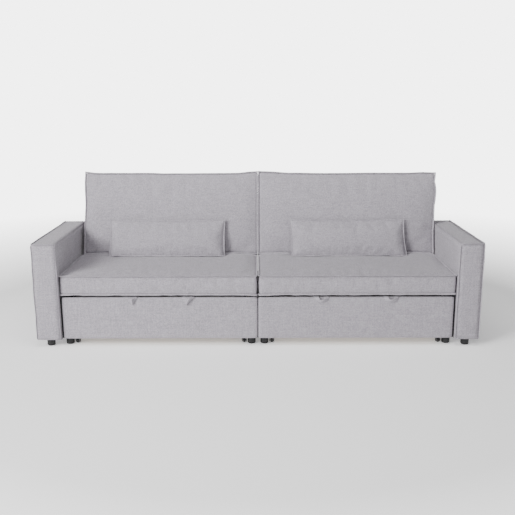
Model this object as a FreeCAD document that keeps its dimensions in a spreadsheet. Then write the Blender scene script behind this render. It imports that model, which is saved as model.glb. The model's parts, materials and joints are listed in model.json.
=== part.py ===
# Sofa bed: two seat modules between two slab arms.
# X runs along the sofa, Y from front to back, Z up; the origin is under the middle of its box.
# Each module holds a trundle that rolls out to the front and a back that folds down flat.
import FreeCAD, Part
import math
import os
import re
import Sketcher

Vector = FreeCAD.Vector
X_AXIS = Vector(1, 0, 0)
Y_AXIS = Vector(0, 1, 0)
Z_AXIS = Vector(0, 0, 1)

# Driving dimensions in millimetres and degrees
SIZES = {
    # Whole sofa
    "overall_width": 2660,
    "foot_height": 46,
    "fit_gap": 0.3,
    "running_gap": 0.6,
    # Arms
    "arm_width": 140,
    "arm_depth": 805,
    "arm_top": 632,
    "arm_cover_wall": 10,
    "arm_board": 15,
    "arm_bottom_board": 12,
    "arm_bolt_diameter": 8,
    "arm_bolt_head_diameter": 18,
    "arm_bolt_head_length": 6,
    "arm_bolt_height": 262,
    "arm_bolt_setback": 120,
    "arm_bolt_spacing": 190,
    # Feet
    "foot_diameter": 50,
    "foot_toe_radius": 8,
    "arm_foot_setback": 46,
    "base_foot_inset": 39,
    "base_foot_setback": 74,
    "base_rear_foot_setback": 745,
    # Base of a module
    "board": 22,
    "base_front": 37,
    "base_back": 800,
    "base_step_back": 655,
    "base_step_top": 215,
    "base_top": 311,
    "rear_rail_bottom": 70,
    "foot_block": 42,
    "foot_block_length": 60,
    "foot_block_height": 40,
    "slat_count": 6,
    "slat_width": 66,
    "slat_thickness": 12,
    "slat_front": 44,
    "slat_back": 560,
    "clip_width": 40,
    "clip_thickness": 3,
    "clip_leg": 30,
    "clip_setback": 725,
    # Seat cushion
    "cushion_near": 4,
    "seat_arm_gap": 6,
    "seat_front": 16,
    "seat_back_gap": 7,
    "seat_thickness": 113,
    "seat_crown": 6,
    "seat_side_bulge": 4,
    # Back, measured along and across its leaning face
    "recline": 14.6,
    "back_front": 569,
    "back_bottom": 449,
    "back_arm_gap": 16,
    "back_cushion_depth": 150,
    "back_cushion_height": 547,
    "back_crown": 10,
    "back_side_bulge": 4,
    "back_sag": 10,
    "back_panel_depth": 60,
    "back_panel_height": 450,
    "back_cover_wall": 8,
    "back_rail": 40,
    # Hinge of the back
    "hinge_across": 60,
    "hinge_drop": 56,
    "hinge_pin_diameter": 12,
    "hinge_pin_clearance": 0.05,
    "hinge_pin_head_diameter": 20,
    "hinge_pin_head_length": 4,
    "hinge_bracket_thickness": 6,
    "hinge_bracket_width": 50,
    "hinge_bracket_bottom": 225,
    "hinge_arm_thickness": 8,
    "hinge_arm_width": 36,
    "hinge_flange_thickness": 5,
    "hinge_flange_width": 44,
    # Lumbar pillow
    "pillow_width": 760,
    "pillow_height": 256,
    "pillow_thickness": 80,
    "pillow_edge": 8,
    "pillow_crown_room": 8.9,
    "pillow_lift": 2.6,
    "pillow_lean": 20,
    # Front panel and trundle
    "panel_near": 3,
    "panel_arm_gap": 15.5,
    "panel_front": 16,
    "panel_thickness": 20,
    "panel_bottom": 47,
    "panel_top": 305,
    "trundle_inset": 68,
    "trundle_board": 32,
    "trundle_rail_top": 198,
    "trundle_slat_count": 6,
    "trundle_slat_width": 70,
    "trundle_slat_thickness": 12,
    "trundle_runner_length": 300,
    "pad_top": 300,
    "pad_crown": 4,
    "guide_bottom": 110,
    "guide_height": 34,
    "guide_wall": 2,
    "guide_depth": 38,
    "guide_front": 40,
    "guide_end_gap": 5,
    # Casters
    "caster_inset": 84,
    "caster_width": 30,
    "caster_length": 36,
    "caster_plate": 3,
    "caster_cheek_radius": 12,
    "caster_front_setback": 82,
    "caster_back_setback": 610,
    "wheel_diameter": 33,
    "wheel_width": 14,
    "wheel_lift": 0.5,
    "wheel_side_gap": 0.8,
    "wheel_rim_round": 3,
    "axle_diameter": 5,
    "axle_clearance": 0.05,
    "axle_head_diameter": 8,
    "axle_head_length": 1.5,
    # Pull tabs
    "tab_strap": 22,
    "tab_thickness": 3,
    "tab_tongue": 24,
    "left_tab_offset": 172,
    "left_tab_width": 74,
    "left_tab_drop": 43,
    "left_tab_skew": 12,
    "right_tab_offset": 208,
    "right_tab_width": 88,
    "right_tab_drop": 35,
    "right_tab_hole_width": 30,
    "right_tab_hole_drop": 12,
}

SIDES = {"left": -1, "right": 1}

doc = FreeCAD.newDocument("sofa_bed")
sheet = doc.addObject("Spreadsheet::Sheet", "Sizes")
for row, (alias, number) in enumerate(SIZES.items(), start=1):
    sheet.set(f"A{row}", alias)
    sheet.set(f"B{row}", str(number))
    sheet.setAlias(f"B{row}", alias)
doc.recompute()

ALIASES = re.compile(r"\b(" + "|".join(SIZES) + r")\b")
PARTS = []


def bound(formula):
    """A formula in the sheet's aliases, as the document's expressions write it."""
    return ALIASES.sub(r"Sizes.\1", str(formula))


def value(formula):
    """The number that a formula in the sheet's aliases gives."""
    return float(sheet.evalExpression(bound(formula)))


# Places that several pieces share, as formulas
ARM_INNER = "(overall_width / 2 - arm_width)"
BASE_FAR = f"({ARM_INNER} - fit_gap)"
SEAT_FAR = f"({ARM_INNER} - seat_arm_gap)"
BACK_FAR = f"({ARM_INNER} - back_arm_gap)"
PANEL_FAR = f"({ARM_INNER} - panel_arm_gap)"
MODULE_MIDDLE = f"({ARM_INNER} / 2)"
BACK_REACH = (
    "(back_front + back_panel_height * sin(recline)"
    " + (back_cushion_depth + back_panel_depth) * cos(recline))"
)
DECK_TOP = "(base_top + slat_thickness)"
SEAT_BOTTOM = f"({DECK_TOP} + fit_gap)"
SEAT_TOP = f"({SEAT_BOTTOM} + seat_thickness)"
PILLOW_BOTTOM = f"({SEAT_TOP} + pillow_lift)"
# The middle of the pillow's rear face lies against the leaning face of the back cushion
PILLOW_REAR_HEIGHT = (
    f"({PILLOW_BOTTOM} + pillow_height / 2 * cos(pillow_lean)"
    " - pillow_thickness / 2 * sin(pillow_lean))"
)
PILLOW_FOOT = (
    f"(back_front + ({PILLOW_REAR_HEIGHT} - back_bottom) * tan(recline) - pillow_crown_room"
    " - pillow_height / 2 * sin(pillow_lean) - pillow_thickness / 2 * cos(pillow_lean))"
)
TRUNDLE_FRONT = "(panel_front + panel_thickness)"
TRUNDLE_BACK = "base_step_back"
GUIDE_BACK = f"({TRUNDLE_BACK} - guide_end_gap)"
TRUNDLE_SLAT_TOP = "(trundle_rail_top + trundle_slat_thickness)"
HINGE_DEPTH = "(back_front + hinge_across * cos(recline) - hinge_drop * sin(recline))"
HINGE_HEIGHT = "(back_bottom - hinge_across * sin(recline) - hinge_drop * cos(recline))"
WHEEL_HEIGHT = "(wheel_diameter / 2 + wheel_lift)"


def depth(setback):
    """The Y of a point that lies this far behind the front plane of the arms."""
    return f"(({setback}) - {BACK_REACH} / 2)"


def start(side, near, far):
    """The lower X of a piece that runs from near to far, both measured from the middle."""
    return near if SIDES[side] > 0 else f"(-({far}))"


def across(side, distance):
    """The X of a point at this distance from the middle of the sofa."""
    return f"({SIDES[side]} * ({distance}))"


def move(obj, x, y, z):
    """Bind an object's place to three formulas."""
    for letter, formula in zip("xyz", (x, y, z)):
        obj.setExpression(f"Placement.Base.{letter}", bound(formula))
    return obj


def lean(obj, x, along, up, foot_y, foot_z, angle):
    """Place an object in a frame that leans backwards by an angle about its foot."""
    obj.Placement = FreeCAD.Placement(Vector(), FreeCAD.Rotation(X_AXIS, 1))
    obj.setExpression("Placement.Rotation.Angle", bound(f"-({angle})"))
    y = f"{foot_y} + ({along}) * cos({angle}) + ({up}) * sin({angle})"
    z = f"{foot_z} - ({along}) * sin({angle}) + ({up}) * cos({angle})"
    return move(obj, x, y, z)


def in_back(obj, x, along, up):
    """Place an object in the frame of the back: across its thickness and up its height."""
    return lean(obj, x, along, up, depth("back_front"), "back_bottom", "recline")


def box(name, length, width, height):
    """A box whose three sizes are formulas."""
    obj = doc.addObject("Part::Box", name)
    for side_name, formula in (("Length", length), ("Width", width), ("Height", height)):
        obj.setExpression(side_name, bound(formula))
    return obj


def block(name, x, y, z, length, width, height):
    """A box with its sizes and its place."""
    return move(box(name, length, width, height), x, y, z)


def cylinder(name, diameter, height, axis=None):
    """A cylinder along Z, or turned about Y to lie along X."""
    obj = doc.addObject("Part::Cylinder", name)
    obj.setExpression("Radius", bound(f"({diameter}) / 2"))
    obj.setExpression("Height", bound(height))
    if axis == "X":
        obj.Placement = FreeCAD.Placement(Vector(), FreeCAD.Rotation(Y_AXIS, 90))
    return obj


def cut(name, base, *tools):
    """The base without the tools."""
    tool = tools[0] if len(tools) == 1 else join(f"{name}_tools", tools)
    obj = doc.addObject("Part::Cut", name)
    obj.Base = base
    obj.Tool = tool
    return obj


def join(name, pieces):
    """One solid of several that touch or overlap."""
    obj = doc.addObject("Part::MultiFuse", name)
    obj.Shapes = list(pieces)
    return obj


def group(name, pieces):
    """Several separate solids that one sub-part holds."""
    obj = doc.addObject("Part::Compound", name)
    obj.Links = list(pieces)
    return obj


def formed(name, shape):
    """A piece whose shape is worked out in code."""
    obj = doc.addObject("Part::Feature", name)
    obj.Shape = shape
    return obj


def part(label, obj):
    """Mark an object as a sub-part with this label."""
    obj.Label = label
    PARTS.append(obj)
    return obj


def origin_plane(body, role):
    """The plane of this role in a body's own origin."""
    return next(feature for feature in body.Origin.OriginFeatures if feature.Role == role)


STRAIGHT = 1e-6


def curve(first, middle, last):
    """An arc through three points, or a line where they lie straight."""
    if (middle - first).cross(last - middle).Length < STRAIGHT:
        return Part.LineSegment(first, last).toShape()
    return Part.Arc(first, middle, last).toShape()


def cushion_section(x, depth_size, height, bulges):
    """A four-sided closed section at x, whose under, back, upper and front sides swell."""
    corners = [
        Vector(x, 0, 0),
        Vector(x, depth_size, 0),
        Vector(x, depth_size, height),
        Vector(x, 0, height),
    ]
    outward = (Vector(0, 0, -1), Vector(0, 1, 0), Vector(0, 0, 1), Vector(0, -1, 0))
    edges = []
    for index, (bulge, direction) in enumerate(zip(bulges, outward)):
        first = corners[index]
        last = corners[(index + 1) % len(corners)]
        middle = (first + last) * 0.5 + direction * bulge
        edges.append(curve(first, middle, last))
    return Part.Wire(edges)


STATION_SHARES = (0, 0.06, 0.22, 0.5, 0.78, 0.94, 1)
FULLNESS_POWER = 0.6
SEAM_SWELL_SHARE = 0.05


def fullness(share, power):
    """How full a stuffed piece is at this share of its length: none at its ends, one midway."""
    return math.sin(math.pi * share) ** power if 0 < share < 1 else 0


def cushion_shape(width, depth_size, height, bulges, sag=0):
    """A stuffed cushion from x = 0 to width: flat seams at both ends and a crown between them.

    Its upper side sags by sag in the middle.
    """
    sections = []
    for share in STATION_SHARES:
        upper = height - sag * fullness(share, 2)
        full = max(fullness(share, FULLNESS_POWER), SEAM_SWELL_SHARE)
        swell = [bulge * full for bulge in bulges]
        sections.append(cushion_section(width * share, depth_size, upper, swell))
    return Part.makeLoft(sections, True, False)


# Feet

def foot_body():
    """A turned foot with a rounded toe, from the floor to the piece that it carries."""
    body = doc.addObject("PartDesign::Body", "foot")
    sketch = body.newObject("Sketcher::SketchObject", "foot_profile")
    sketch.AttachmentSupport = [(origin_plane(body, "XZ_Plane"), "")]
    sketch.MapMode = "FlatFace"
    radius = value("foot_diameter / 2")
    top = value("foot_height")
    corners = [Vector(), Vector(radius, 0, 0), Vector(radius, top, 0), Vector(0, top, 0)]
    for index, corner in enumerate(corners):
        sketch.addGeometry(Part.LineSegment(corner, corners[(index + 1) % len(corners)]))
    for index in range(len(corners)):
        following = (index + 1) % len(corners)
        sketch.addConstraint(Sketcher.Constraint("Coincident", index, 2, following, 1))
    sketch.addConstraint(Sketcher.Constraint("Coincident", 0, 1, -1, 1))
    for index, direction in enumerate(("Horizontal", "Vertical", "Horizontal", "Vertical")):
        sketch.addConstraint(Sketcher.Constraint(direction, index))
    wide = sketch.addConstraint(Sketcher.Constraint("DistanceX", 0, 1, 0, 2, radius))
    tall = sketch.addConstraint(Sketcher.Constraint("DistanceY", 1, 1, 1, 2, top))
    sketch.setExpression(f"Constraints[{wide}]", bound("foot_diameter / 2"))
    sketch.setExpression(f"Constraints[{tall}]", bound("foot_height"))
    turn = body.newObject("PartDesign::Revolution", "foot_turn")
    turn.Profile = sketch
    turn.ReferenceAxis = (sketch, ["V_Axis"])
    turn.Angle = 360
    doc.recompute()
    toe = body.newObject("PartDesign::Fillet", "foot_toe")
    toe.Base = (turn, [edge_name(turn.Shape, lambda edge: edge.BoundBox.ZMax < top / 2)])
    toe.setExpression("Radius", bound("foot_toe_radius"))
    return body


def edge_name(shape, wanted):
    """The name of the first round edge that the test picks."""
    for index, edge in enumerate(shape.Edges, start=1):
        if edge.Closed and edge.Length > 0 and wanted(edge):
            return f"Edge{index}"
    raise ValueError("no such edge")


def feet(label, foot, places):
    """Copies of the foot at the given places."""
    copies = []
    for index, (x, y) in enumerate(places, start=1):
        copy = doc.addObject("App::Link", f"{label}_{index}")
        copy.LinkedObject = foot
        copies.append(move(copy, x, y, 0))
    return part(label, group(label, copies))


# Arms

ARM_HEIGHT = "(arm_top - foot_height)"
ARM_CAVITY = "(arm_width - 2 * arm_cover_wall - 2 * fit_gap)"
ARM_FRAME_TOP = "(arm_top - arm_cover_wall - fit_gap)"
ARM_FRAME_BOTTOM = "(foot_height + arm_bottom_board)"
ARM_FRAME_DEPTH = "(arm_depth - 2 * arm_cover_wall - 2 * fit_gap)"


def bolt_places():
    """The setbacks of the bolts that hold an arm to its module."""
    return [f"(arm_bolt_setback + {index} * arm_bolt_spacing)" for index in range(3)]


def bolt_row(name, side, near, length, diameter):
    """Round pieces along X, one at each bolt, from near outwards."""
    far = f"{near} + {length}"
    pieces = []
    for index, setback in enumerate(bolt_places(), start=1):
        rod = cylinder(f"{name}_{index}", diameter, length, axis="X")
        pieces.append(move(rod, start(side, near, far), depth(setback), "arm_bolt_height"))
    return pieces


def make_arm(side, foot):
    """One slab arm: padded cover, timber frame, bottom board, feet and bolts."""
    outer = box(f"{side}_arm_cover_outer", "arm_width", "arm_depth", ARM_HEIGHT)
    move(outer, start(side, ARM_INNER, "overall_width / 2"), depth(0), "foot_height")
    inner_x = start(
        side, f"{ARM_INNER} + arm_cover_wall", "overall_width / 2 - arm_cover_wall"
    )
    cavity = block(
        f"{side}_arm_cover_cavity", inner_x, depth("arm_cover_wall"), "foot_height",
        "arm_width - 2 * arm_cover_wall", "arm_depth - 2 * arm_cover_wall",
        f"{ARM_HEIGHT} - arm_cover_wall",
    )
    holes = bolt_row(
        f"{side}_arm_cover_hole", side, ARM_INNER, "arm_cover_wall",
        "arm_bolt_diameter + 2 * fit_gap",
    )
    part(f"{side}_arm_cover", cut(f"{side}_arm_cover", outer, cavity, *holes))

    frame_near = f"({ARM_INNER} + arm_cover_wall + fit_gap)"
    frame_far = "(overall_width / 2 - arm_cover_wall - fit_gap)"
    frame_x = start(side, frame_near, frame_far)
    frame_y = depth("arm_cover_wall + fit_gap")
    tall = f"{ARM_FRAME_TOP} - {ARM_FRAME_BOTTOM}"
    whole = block(
        f"{side}_arm_frame_whole", frame_x, frame_y, ARM_FRAME_BOTTOM,
        ARM_CAVITY, ARM_FRAME_DEPTH, tall,
    )
    bay = f"(({ARM_FRAME_DEPTH} - 3 * arm_board) / 2)"
    bays = []
    for index in range(2):
        bays.append(block(
            f"{side}_arm_frame_bay_{index + 1}",
            start(side, f"{frame_near} + arm_board", f"{frame_far} - arm_board"),
            f"{frame_y} + arm_board + {index} * ({bay} + arm_board)",
            f"{ARM_FRAME_BOTTOM} + arm_board",
            f"{ARM_CAVITY} - 2 * arm_board", bay, f"{tall} - 2 * arm_board",
        ))
    sockets = bolt_row(
        f"{side}_arm_frame_socket", side, frame_near, "arm_board",
        "arm_bolt_diameter + fit_gap",
    )
    part(f"{side}_arm_frame", cut(f"{side}_arm_frame", whole, *bays, *sockets))

    part(f"{side}_arm_bottom_board", block(
        f"{side}_arm_bottom_board", frame_x, frame_y, "foot_height",
        ARM_CAVITY, ARM_FRAME_DEPTH, "arm_bottom_board",
    ))

    middle = across(side, "overall_width / 2 - arm_width / 2")
    feet(f"{side}_arm_feet", foot, [
        (middle, depth("arm_foot_setback")),
        (middle, depth("arm_depth - arm_foot_setback")),
    ])

    shank_near = f"({BASE_FAR} - board)"
    shank_length = "board + fit_gap + arm_cover_wall + fit_gap + arm_board"
    head_near = f"({shank_near} - arm_bolt_head_length)"
    heads = bolt_row(
        f"{side}_arm_bolt_head", side, head_near, "arm_bolt_head_length",
        "arm_bolt_head_diameter",
    )
    shanks = bolt_row(
        f"{side}_arm_bolt_shank", side, shank_near, shank_length, "arm_bolt_diameter"
    )
    bolts = [
        join(f"{side}_arm_bolt_{index}", pair)
        for index, pair in enumerate(zip(heads, shanks), start=1)
    ]
    part(f"{side}_arm_bolts", group(f"{side}_arm_bolts", bolts))


# Base of a module

def board_place(side, edge, inset, thickness):
    """The lower X of a board that lies inset from the inner or outer edge of the base."""
    if edge == "inner":
        near = f"fit_gap + {inset}"
        return start(side, near, f"{near} + {thickness}")
    far = f"{BASE_FAR} - ({inset})"
    return start(side, f"{far} - ({thickness})", far)


def edge_place(side, edge, inset):
    """The X of a point that lies inset from the inner or outer edge of the base."""
    distance = f"fit_gap + {inset}" if edge == "inner" else f"{BASE_FAR} - ({inset})"
    return across(side, distance)


EDGES = ("inner", "outer")
BASE_FEET = ("base_foot_setback", "base_rear_foot_setback")


def make_base_sides(side):
    """The two side boards, cut lower at the rear where the back folds down."""
    boards = []
    for edge in EDGES:
        x = board_place(side, edge, 0, "board")
        name = f"{side}_base_side_{edge}"
        whole = block(
            f"{name}_whole", x, depth("base_front"), "foot_height",
            "board", "base_back - base_front", "base_top - foot_height",
        )
        step = block(
            f"{name}_step", x, depth("base_step_back"), "base_step_top",
            "board", "base_back - base_step_back", "base_top - base_step_top",
        )
        tools = [step]
        if edge == "outer":
            tools += bolt_row(
                f"{name}_hole", side, f"({BASE_FAR} - board)", "board",
                "arm_bolt_diameter + fit_gap",
            )
        boards.append(cut(name, whole, *tools))
    part(f"{side}_base_sides", group(f"{side}_base_sides", boards))


def make_base_rails(side):
    """The rear rail and the blocks that take the feet."""
    rail_length = f"({BASE_FAR} - fit_gap - 2 * board)"
    pieces = [block(
        f"{side}_rear_rail", board_place(side, "inner", "board", rail_length),
        depth("base_back - board"), "rear_rail_bottom",
        rail_length, "board", "base_step_top - rear_rail_bottom",
    )]
    for edge in EDGES:
        for index, setback in enumerate(BASE_FEET, start=1):
            pieces.append(block(
                f"{side}_foot_block_{edge}_{index}",
                board_place(side, edge, "board", "foot_block"),
                depth(f"{setback} - foot_block_length / 2"), "foot_height",
                "foot_block", "foot_block_length", "foot_block_height",
            ))
    part(f"{side}_base_rails", group(f"{side}_base_rails", pieces))


def make_base(side, foot):
    """Side boards, rails, feet and the slatted deck under the seat cushion."""
    make_base_sides(side)
    make_base_rails(side)
    places = [
        (edge_place(side, edge, "base_foot_inset"), depth(setback))
        for edge in EDGES for setback in BASE_FEET
    ]
    feet(f"{side}_base_feet", foot, places)
    pitch = "((slat_back - slat_front - slat_width) / (slat_count - 1))"
    slats = [
        block(
            f"{side}_deck_slat_{index + 1}", start(side, "fit_gap", BASE_FAR),
            depth(f"slat_front + {index} * {pitch}"), "base_top",
            f"{BASE_FAR} - fit_gap", "slat_width", "slat_thickness",
        )
        for index in range(int(value("slat_count")))
    ]
    part(f"{side}_seat_deck", group(f"{side}_seat_deck", slats))
    make_guides(side)


def make_guides(side):
    """The two channels that the trundle's runners slide in."""
    guides = []
    for edge in EDGES:
        name = f"{side}_guide_{edge}"
        whole = block(
            f"{name}_whole", board_place(side, edge, "board", "guide_depth"),
            depth("guide_front"), "guide_bottom",
            "guide_depth", f"{GUIDE_BACK} - guide_front", "guide_height",
        )
        groove_depth = "(guide_depth - guide_wall)"
        groove = block(
            f"{name}_groove", board_place(side, edge, "board + guide_wall", groove_depth),
            depth("guide_front"), "guide_bottom + guide_wall",
            groove_depth, f"{GUIDE_BACK} - guide_front", "guide_height - 2 * guide_wall",
        )
        guides.append(cut(name, whole, groove))
    part(f"{side}_trundle_guides", group(f"{side}_trundle_guides", guides))


def make_clip():
    """The saddle that holds the two modules together at the rear."""
    width = "(2 * (fit_gap + board + running_gap))"
    outer = block(
        "module_clip_outer", f"-({width} / 2 + clip_thickness)",
        depth("clip_setback - clip_width / 2"), "base_step_top - clip_leg",
        f"{width} + 2 * clip_thickness", "clip_width", "clip_leg + clip_thickness",
    )
    slot = block(
        "module_clip_slot", f"-({width} / 2)",
        depth("clip_setback - clip_width / 2"), "base_step_top - clip_leg",
        width, "clip_width", "clip_leg",
    )
    part("module_clip", cut("module_clip", outer, slot))


# Seat cushion

def make_seat_cushion(side):
    """The boxed seat cushion on the deck."""
    size = (
        value(f"{SEAT_FAR} - cushion_near"), value("back_front - seat_back_gap - seat_front"),
        value("seat_thickness"),
    )
    bulge = value("seat_side_bulge")
    shape = cushion_shape(*size, (0, bulge, value("seat_crown"), bulge))
    cushion = formed(f"{side}_seat_cushion", shape)
    move(cushion, start(side, "cushion_near", SEAT_FAR), depth("seat_front"), SEAT_BOTTOM)
    part(f"{side}_seat_cushion", cushion)


# Back of a module

def make_back_panel(side):
    """The upholstered panel behind the back cushion and the timber frame in it."""
    near_x = start(side, "panel_near", PANEL_FAR)
    width = f"({PANEL_FAR} - panel_near)"
    outer = box(f"{side}_back_cover_outer", width, "back_panel_depth", "back_panel_height")
    in_back(outer, near_x, "back_cushion_depth", 0)
    cavity = box(
        f"{side}_back_cover_cavity", f"{width} - 2 * back_cover_wall",
        "back_panel_depth - 2 * back_cover_wall", "back_panel_height - back_cover_wall",
    )
    in_back(cavity, f"{near_x} + back_cover_wall", "back_cushion_depth + back_cover_wall", 0)
    part(f"{side}_back_cover", cut(f"{side}_back_cover", outer, cavity))

    inset = "(back_cover_wall + fit_gap)"
    frame_width = f"({width} - 2 * {inset})"
    frame_depth = f"(back_panel_depth - 2 * {inset})"
    frame_height = f"(back_panel_height - {inset})"
    frame_x = f"{near_x} + {inset}"
    frame_across = f"back_cushion_depth + {inset}"
    whole = box(f"{side}_back_frame_whole", frame_width, frame_depth, frame_height)
    in_back(whole, frame_x, frame_across, 0)
    bay_width = f"(({frame_width} - 3 * back_rail) / 2)"
    bays = []
    for index in range(2):
        bay = box(
            f"{side}_back_frame_bay_{index + 1}", bay_width, frame_depth,
            f"{frame_height} - 2 * back_rail",
        )
        bay_x = f"{frame_x} + back_rail + {index} * ({bay_width} + back_rail)"
        bays.append(in_back(bay, bay_x, frame_across, "back_rail"))
    part(f"{side}_back_frame", cut(f"{side}_back_frame", whole, *bays))


def make_back_cushion(side):
    """The boxed back cushion: a crown on its face and an upper edge that sags."""
    size = (
        value(f"{BACK_FAR} - cushion_near"), value("back_cushion_depth - fit_gap"),
        value("back_cushion_height"),
    )
    bulge = value("back_side_bulge")
    bulges = (bulge, 0, bulge, value("back_crown"))
    shape = cushion_shape(*size, bulges, sag=value("back_sag"))
    cushion = formed(f"{side}_back_cushion", shape)
    in_back(cushion, start(side, "cushion_near", BACK_FAR), 0, 0)
    part(f"{side}_back_cushion", cushion)


# Hinges of the back

def hinge_part(side, edge, inset, length):
    """The lower X of a hinge piece, inset from the inner face of the side board."""
    return board_place(side, edge, f"board + {inset}", length)


def make_hinge_brackets(side):
    """Two plates on the side boards with the pins that the back turns on."""
    brackets = []
    pin_length = "(fit_gap + hinge_arm_thickness + fit_gap)"
    for edge in EDGES:
        name = f"{side}_hinge_bracket_{edge}"
        plate = block(
            f"{name}_plate", hinge_part(side, edge, "0", "hinge_bracket_thickness"),
            f"{depth(HINGE_DEPTH)} - hinge_bracket_width / 2", "hinge_bracket_bottom",
            "hinge_bracket_thickness", "hinge_bracket_width",
            f"{HINGE_HEIGHT} - hinge_bracket_bottom",
        )
        pieces = [plate]
        rounds = (
            ("eye", "0", "hinge_bracket_thickness", "hinge_bracket_width"),
            ("pin", "hinge_bracket_thickness", pin_length, "hinge_pin_diameter"),
            ("head", f"hinge_bracket_thickness + {pin_length}", "hinge_pin_head_length",
             "hinge_pin_head_diameter"),
        )
        for kind, inset, length, diameter in rounds:
            rod = cylinder(f"{name}_{kind}", diameter, length, axis="X")
            x = hinge_part(side, edge, inset, length)
            pieces.append(move(rod, x, depth(HINGE_DEPTH), HINGE_HEIGHT))
        brackets.append(join(name, pieces))
    part(f"{side}_hinge_brackets", group(f"{side}_hinge_brackets", brackets))


def make_hinge_arms(side):
    """Two cranked steel arms that carry the back from its pins."""
    arms = []
    inset = "(hinge_bracket_thickness + fit_gap)"
    half = "hinge_arm_width / 2"
    across_end = "(back_cushion_depth + back_panel_depth - back_cover_wall)"
    for edge in EDGES:
        name = f"{side}_hinge_arm_{edge}"
        x = hinge_part(side, edge, inset, "hinge_arm_thickness")
        bar = box(
            f"{name}_bar", "hinge_arm_thickness", f"{across_end} - hinge_across",
            "hinge_arm_width",
        )
        in_back(bar, x, "hinge_across", f"-hinge_drop - {half}")
        riser = box(
            f"{name}_riser", "hinge_arm_thickness", "hinge_arm_width",
            f"hinge_drop + {half}",
        )
        in_back(riser, x, f"{across_end} - hinge_arm_width", f"-hinge_drop - {half}")
        flange = box(
            f"{name}_flange", "hinge_flange_width", "hinge_arm_width",
            "hinge_flange_thickness",
        )
        flange_x = hinge_part(side, edge, inset, "hinge_flange_width")
        in_back(flange, flange_x, f"{across_end} - hinge_arm_width", "-hinge_flange_thickness")
        eye = cylinder(f"{name}_eye", "hinge_arm_width", "hinge_arm_thickness", axis="X")
        bore_diameter = "hinge_pin_diameter + 2 * hinge_pin_clearance"
        bore = cylinder(f"{name}_bore", bore_diameter, "hinge_arm_thickness", axis="X")
        for rod in (eye, bore):
            move(rod, x, depth(HINGE_DEPTH), HINGE_HEIGHT)
        solid = join(f"{name}_solid", [bar, riser, flange, eye])
        arms.append(cut(name, solid, bore))
    part(f"{side}_hinge_arms", group(f"{side}_hinge_arms", arms))


# Lumbar pillow

PILLOW_SHARES = (0, 0.08, 0.25, 0.5, 0.75, 0.92, 1)
PILLOW_POWER = 0.7


def make_pillow(side):
    """A knife-edged pillow: two arcs in section, full in the middle and flat at its ends."""
    width = value("pillow_width")
    height = value("pillow_height")
    full = value("(pillow_thickness - pillow_edge) / 2")
    edge = value("pillow_edge / 2")
    sections = []
    for share in PILLOW_SHARES:
        x = width * share
        half = edge + full * fullness(share, PILLOW_POWER)
        foot = Vector(x, 0, 0)
        head = Vector(x, 0, height)
        front = Part.Arc(foot, Vector(x, -half, height / 2), head).toShape()
        rear = Part.Arc(head, Vector(x, half, height / 2), foot).toShape()
        sections.append(Part.Wire([front, rear]))
    pillow = formed(f"{side}_lumbar_pillow", Part.makeLoft(sections, True, False))
    lean(
        pillow, f"{across(side, MODULE_MIDDLE)} - pillow_width / 2", 0, 0,
        depth(PILLOW_FOOT), PILLOW_BOTTOM, "pillow_lean",
    )
    part(f"{side}_lumbar_pillow", pillow)


# Trundle

def trundle_place(side, edge, inset, thickness):
    """The lower X of a trundle piece that lies inset from the side of its frame."""
    return board_place(side, edge, f"trundle_inset + {inset}", thickness)


TRUNDLE_WIDTH = f"({BASE_FAR} - fit_gap - 2 * trundle_inset)"


def make_trundle_front(side):
    """The padded front panel."""
    part(f"{side}_front_panel", block(
        f"{side}_front_panel", start(side, "panel_near", PANEL_FAR), depth("panel_front"),
        "panel_bottom", f"{PANEL_FAR} - panel_near", "panel_thickness",
        "panel_top - panel_bottom",
    ))


def make_trundle_frame(side):
    """Side rails, end rails and the runners that slide in the guides."""
    length = f"({TRUNDLE_BACK} - {TRUNDLE_FRONT})"
    pieces = []
    inner_width = f"({TRUNDLE_WIDTH} - 2 * trundle_board)"
    groove = "(guide_height - 2 * guide_wall - 2 * running_gap)"
    reach = "(trundle_inset - board - guide_wall - running_gap)"
    for edge in EDGES:
        pieces.append(block(
            f"{side}_trundle_rail_{edge}", trundle_place(side, edge, 0, "trundle_board"),
            depth(TRUNDLE_FRONT), "panel_bottom",
            "trundle_board", length, "trundle_rail_top - panel_bottom",
        ))
        pieces.append(block(
            f"{side}_trundle_runner_{edge}",
            board_place(side, edge, "board + guide_wall + running_gap", reach),
            depth(f"{GUIDE_BACK} - trundle_runner_length"),
            "guide_bottom + guide_wall + running_gap",
            reach, "trundle_runner_length", groove,
        ))
    for index, setback in enumerate((TRUNDLE_FRONT, f"({TRUNDLE_BACK} - trundle_board)")):
        pieces.append(block(
            f"{side}_trundle_end_{index + 1}",
            trundle_place(side, "inner", "trundle_board", inner_width),
            depth(setback), "panel_bottom",
            inner_width, "trundle_board", "trundle_rail_top - panel_bottom",
        ))
    part(f"{side}_trundle_frame", join(f"{side}_trundle_frame", pieces))


def make_trundle_slats(side):
    """Slats across the trundle under its pad."""
    length = f"({TRUNDLE_BACK} - {TRUNDLE_FRONT})"
    pitch = f"(({length} - trundle_slat_width) / (trundle_slat_count - 1))"
    slats = [
        block(
            f"{side}_trundle_slat_{index + 1}",
            trundle_place(side, "inner", 0, TRUNDLE_WIDTH),
            depth(f"{TRUNDLE_FRONT} + {index} * {pitch}"), "trundle_rail_top",
            TRUNDLE_WIDTH, "trundle_slat_width", "trundle_slat_thickness",
        )
        for index in range(int(value("trundle_slat_count")))
    ]
    part(f"{side}_trundle_slats", group(f"{side}_trundle_slats", slats))


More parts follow.
